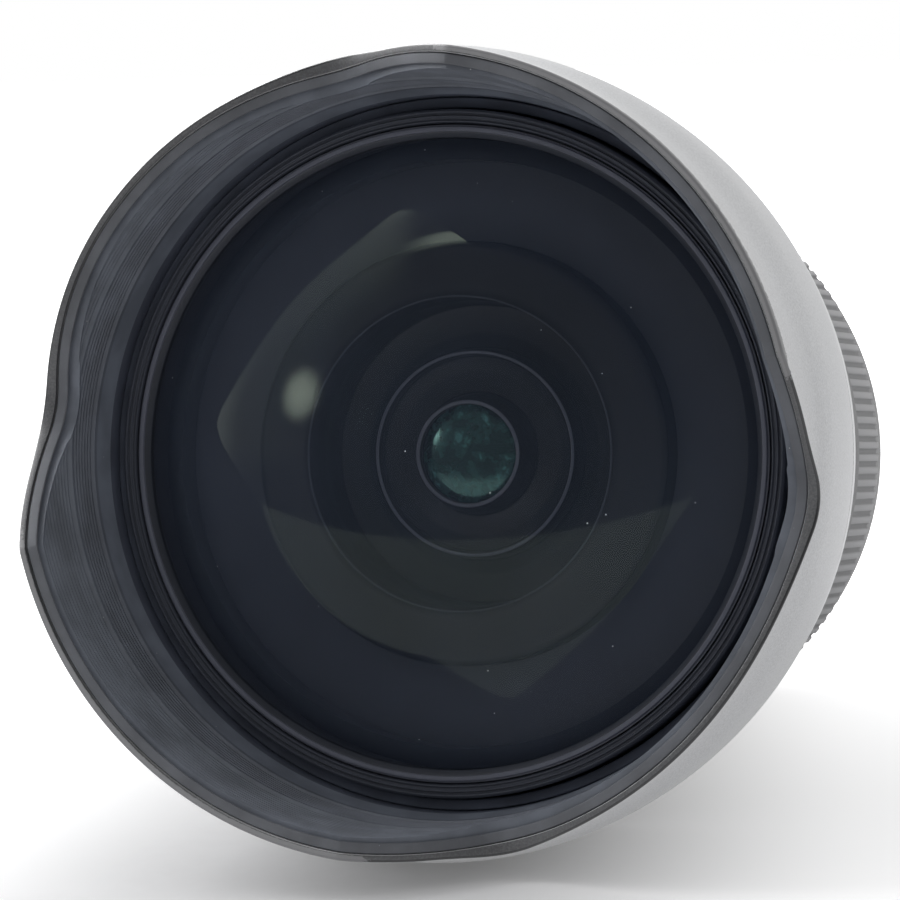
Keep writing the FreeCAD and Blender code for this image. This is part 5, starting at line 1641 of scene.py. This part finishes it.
@dataclass
class Studio:
    """Camera, lamp, pale world and the floor that the lens rests on.

    The camera's place, the lamp's target and the floor's corners are in metres.
    """

    camera_place: tuple[float, float, float] = (0.1554, -0.6325, 0.000455)
    camera_turn: float = 16.5
    camera_lens: float = 180.0
    camera_sensor: float = 36.0
    rest_station: float = ZOOM_GRIP_REAR
    rest_r: float = ZOOM_GRIP_R
    floor_slope: float = 0.1436
    fill_level: float = 0.5
    room_level: float = 0.16
    window_glare: float = 6.0
    strip_glare: float = 6.5
    spot_heading: tuple[float, float, float] = (-0.77, -0.59, 0.24)
    spot_edge: float = 0.985
    spot_glare: float = 9.0
    floor_mirrored: float = 0.5
    floor_colour: Colour = (0.74, 0.74, 0.75)
    floor_x: tuple[float, float] = (-0.9, 1.2)
    floor_y: tuple[float, float] = (-0.262, 1.6)
    lamp: Softbox = Softbox("window", (-0.80, 0.0, 0.59), 1.1, 0.95, 0.95, 3.0)
    lamp_target: tuple[float, float, float] = (0.0, -0.1, 0.0)

    def build_camera(self) -> None:
        """Places the camera at the photograph's viewing angle."""
        turn = math.radians(self.camera_turn)
        data = bpy.data.cameras.new("view")
        data.lens, data.sensor_width = self.camera_lens, self.camera_sensor
        data.clip_start, data.clip_end = 0.01, 50.0
        camera = bpy.data.objects.new("view", data)
        bpy.context.scene.collection.objects.link(camera)
        right = Vector((math.cos(turn), math.sin(turn), 0.0))
        back = Vector((math.sin(turn), -math.cos(turn), 0.0))
        axes = Matrix((right, Vector((0.0, 0.0, 1.0)), back)).transposed().to_4x4()
        camera.matrix_world = Matrix.Translation(self.camera_place) @ axes
        bpy.context.scene.camera = camera

    def reflected_room(self, sheet: Sheet) -> Wire:
        """Room that the mirrors show: a window, a strip light, a spot and a pale rear half.

        Args:
            sheet: the world's node tree.

        Returns:
            Its brightness in each direction.
        """
        heading = sheet.node("ShaderNodeTexCoord", out="Generated")
        x, y, z = sheet.parts(heading)
        window = (0.3 + 1.2 * z * z) * z.ramp(-0.1, 0.04) * x.ramp(-0.30, -0.46)
        window = window * (0.22 * y.ramp(-0.72, -0.4) + 0.78 * y.ramp(-0.3, -0.1))
        strip = y.ramp(-0.49, -0.455) * y.ramp(-0.40, -0.43) * z.ramp(0.0, 0.3)
        strip = strip * x.ramp(-0.42, -0.2) * x.ramp(0.16, 0.0)
        towards = {0: heading, 1: Vector(self.spot_heading).normalized()}
        facing = sheet.node("ShaderNodeVectorMath", {"operation": "DOT_PRODUCT"}, towards, "Value")
        spot = facing.ramp(self.spot_edge, 1.0) ** 4
        glare = self.window_glare * window + self.strip_glare * strip + self.spot_glare * spot
        return self.room_level + (1 - self.room_level) * y.ramp(-0.1, 0.3) + glare

    def build_world(self) -> None:
        """Makes the world: white to the eye, a room in mirrors and a plain soft level as light."""
        world = bpy.data.worlds.new("studio")
        bpy.context.scene.world = world
        world.use_nodes = True
        sheet = Sheet(world.node_tree)
        seen, glossy, through = sheet.rays("Camera", "Glossy", "Transmission")
        mirrored = glossy.either(through)
        level = mirrored * self.reflected_room(sheet) + (1 - mirrored) * self.fill_level
        inputs = {"Color": (1.0, 1.0, 1.0), "Strength": seen.either(level * (1 - seen))}
        shader = sheet.node("ShaderNodeBackground", inputs=inputs)
        sheet.node("ShaderNodeOutputWorld", inputs={"Surface": shader})

    def floor_height(self, y: float) -> float:
        """Floor's height at a place along Y, in metres."""
        return -self.rest_r * MM + self.floor_slope * (y + self.rest_station * MM)

    def floor_material(self) -> bpy.types.Material:
        """White paper that keeps the lens's shadow, with painted light: a glow that whitens it to the
        camera away from the shadow.

        Returns:
            The material.
        """
        material = bpy.data.materials.new("floor_paper")
        material.use_nodes = True
        sheet = Sheet(material.node_tree)
        fibre_colour = tuple(part * 0.985 for part in self.floor_colour)
        tone = sheet.blend(sheet.grain(3.0, 4.0).ramp(0.3, 0.7), self.floor_colour, fibre_colour)
        paper = sheet.node("ShaderNodeBsdfDiffuse", inputs={"Color": tone})
        seen, mirrored = sheet.rays("Camera", "Glossy")
        x, y, _ = sheet.axes()
        # Painted light: a glow to the camera, weak near the lens and strong beside and beyond it, that
        # sets where the shadow fades
        beside = 0.5 * (x + 0.25 * (y + 110)).ramp(0.0, 58.0) + 0.7 * (0 - x).ramp(20.0, 90.0)
        ends = 0.32 * y.ramp(-85.0, 50.0) + 0.9 * (0 - y).ramp(150.0, 240.0)
        strength = seen * (0.12 + beside + ends) + mirrored * self.floor_mirrored
        glow = sheet.node("ShaderNodeEmission", inputs={"Strength": strength})
        both = sheet.node("ShaderNodeAddShader", inputs={0: paper, 1: glow})
        sheet.node("ShaderNodeOutputMaterial", inputs={"Surface": both})
        return material

    def build_floor(self) -> None:
        """Lays the pale floor under the grip's rear edge and the hood."""
        (left, right), (front, back) = self.floor_x, self.floor_y
        corners = [(left, front), (right, front), (right, back), (left, back)]
        mesh = bpy.data.meshes.new("floor")
        mesh.from_pydata([(x, y, self.floor_height(y)) for x, y in corners], [], [(0, 1, 2, 3)])
        mesh.materials.append(self.floor_material())
        floor = bpy.data.objects.new("floor", mesh)
        bpy.context.scene.collection.objects.link(floor)

    def build(self) -> None:
        """Makes the studio."""
        self.build_camera()
        self.build_world()
        self.build_floor()
        self.lamp.build(Vector(self.lamp_target))
        bpy.context.scene.view_settings.view_transform = "Standard"
        log.info("studio: camera, world, floor and the lamp %s", self.lamp.name)


def main() -> None:
    """Builds the scene over the frame."""
    logging.basicConfig(level=logging.INFO, format="%(message)s")
    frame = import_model()
    Studio().build()
    PetalHood().build()
    FrontGlass().build()
    ControlRings().build()
    FixedBarrel().build()
    CarriedNodes().build(frame["nodes"], frame["record"])


if __name__ == "__main__":
    main()
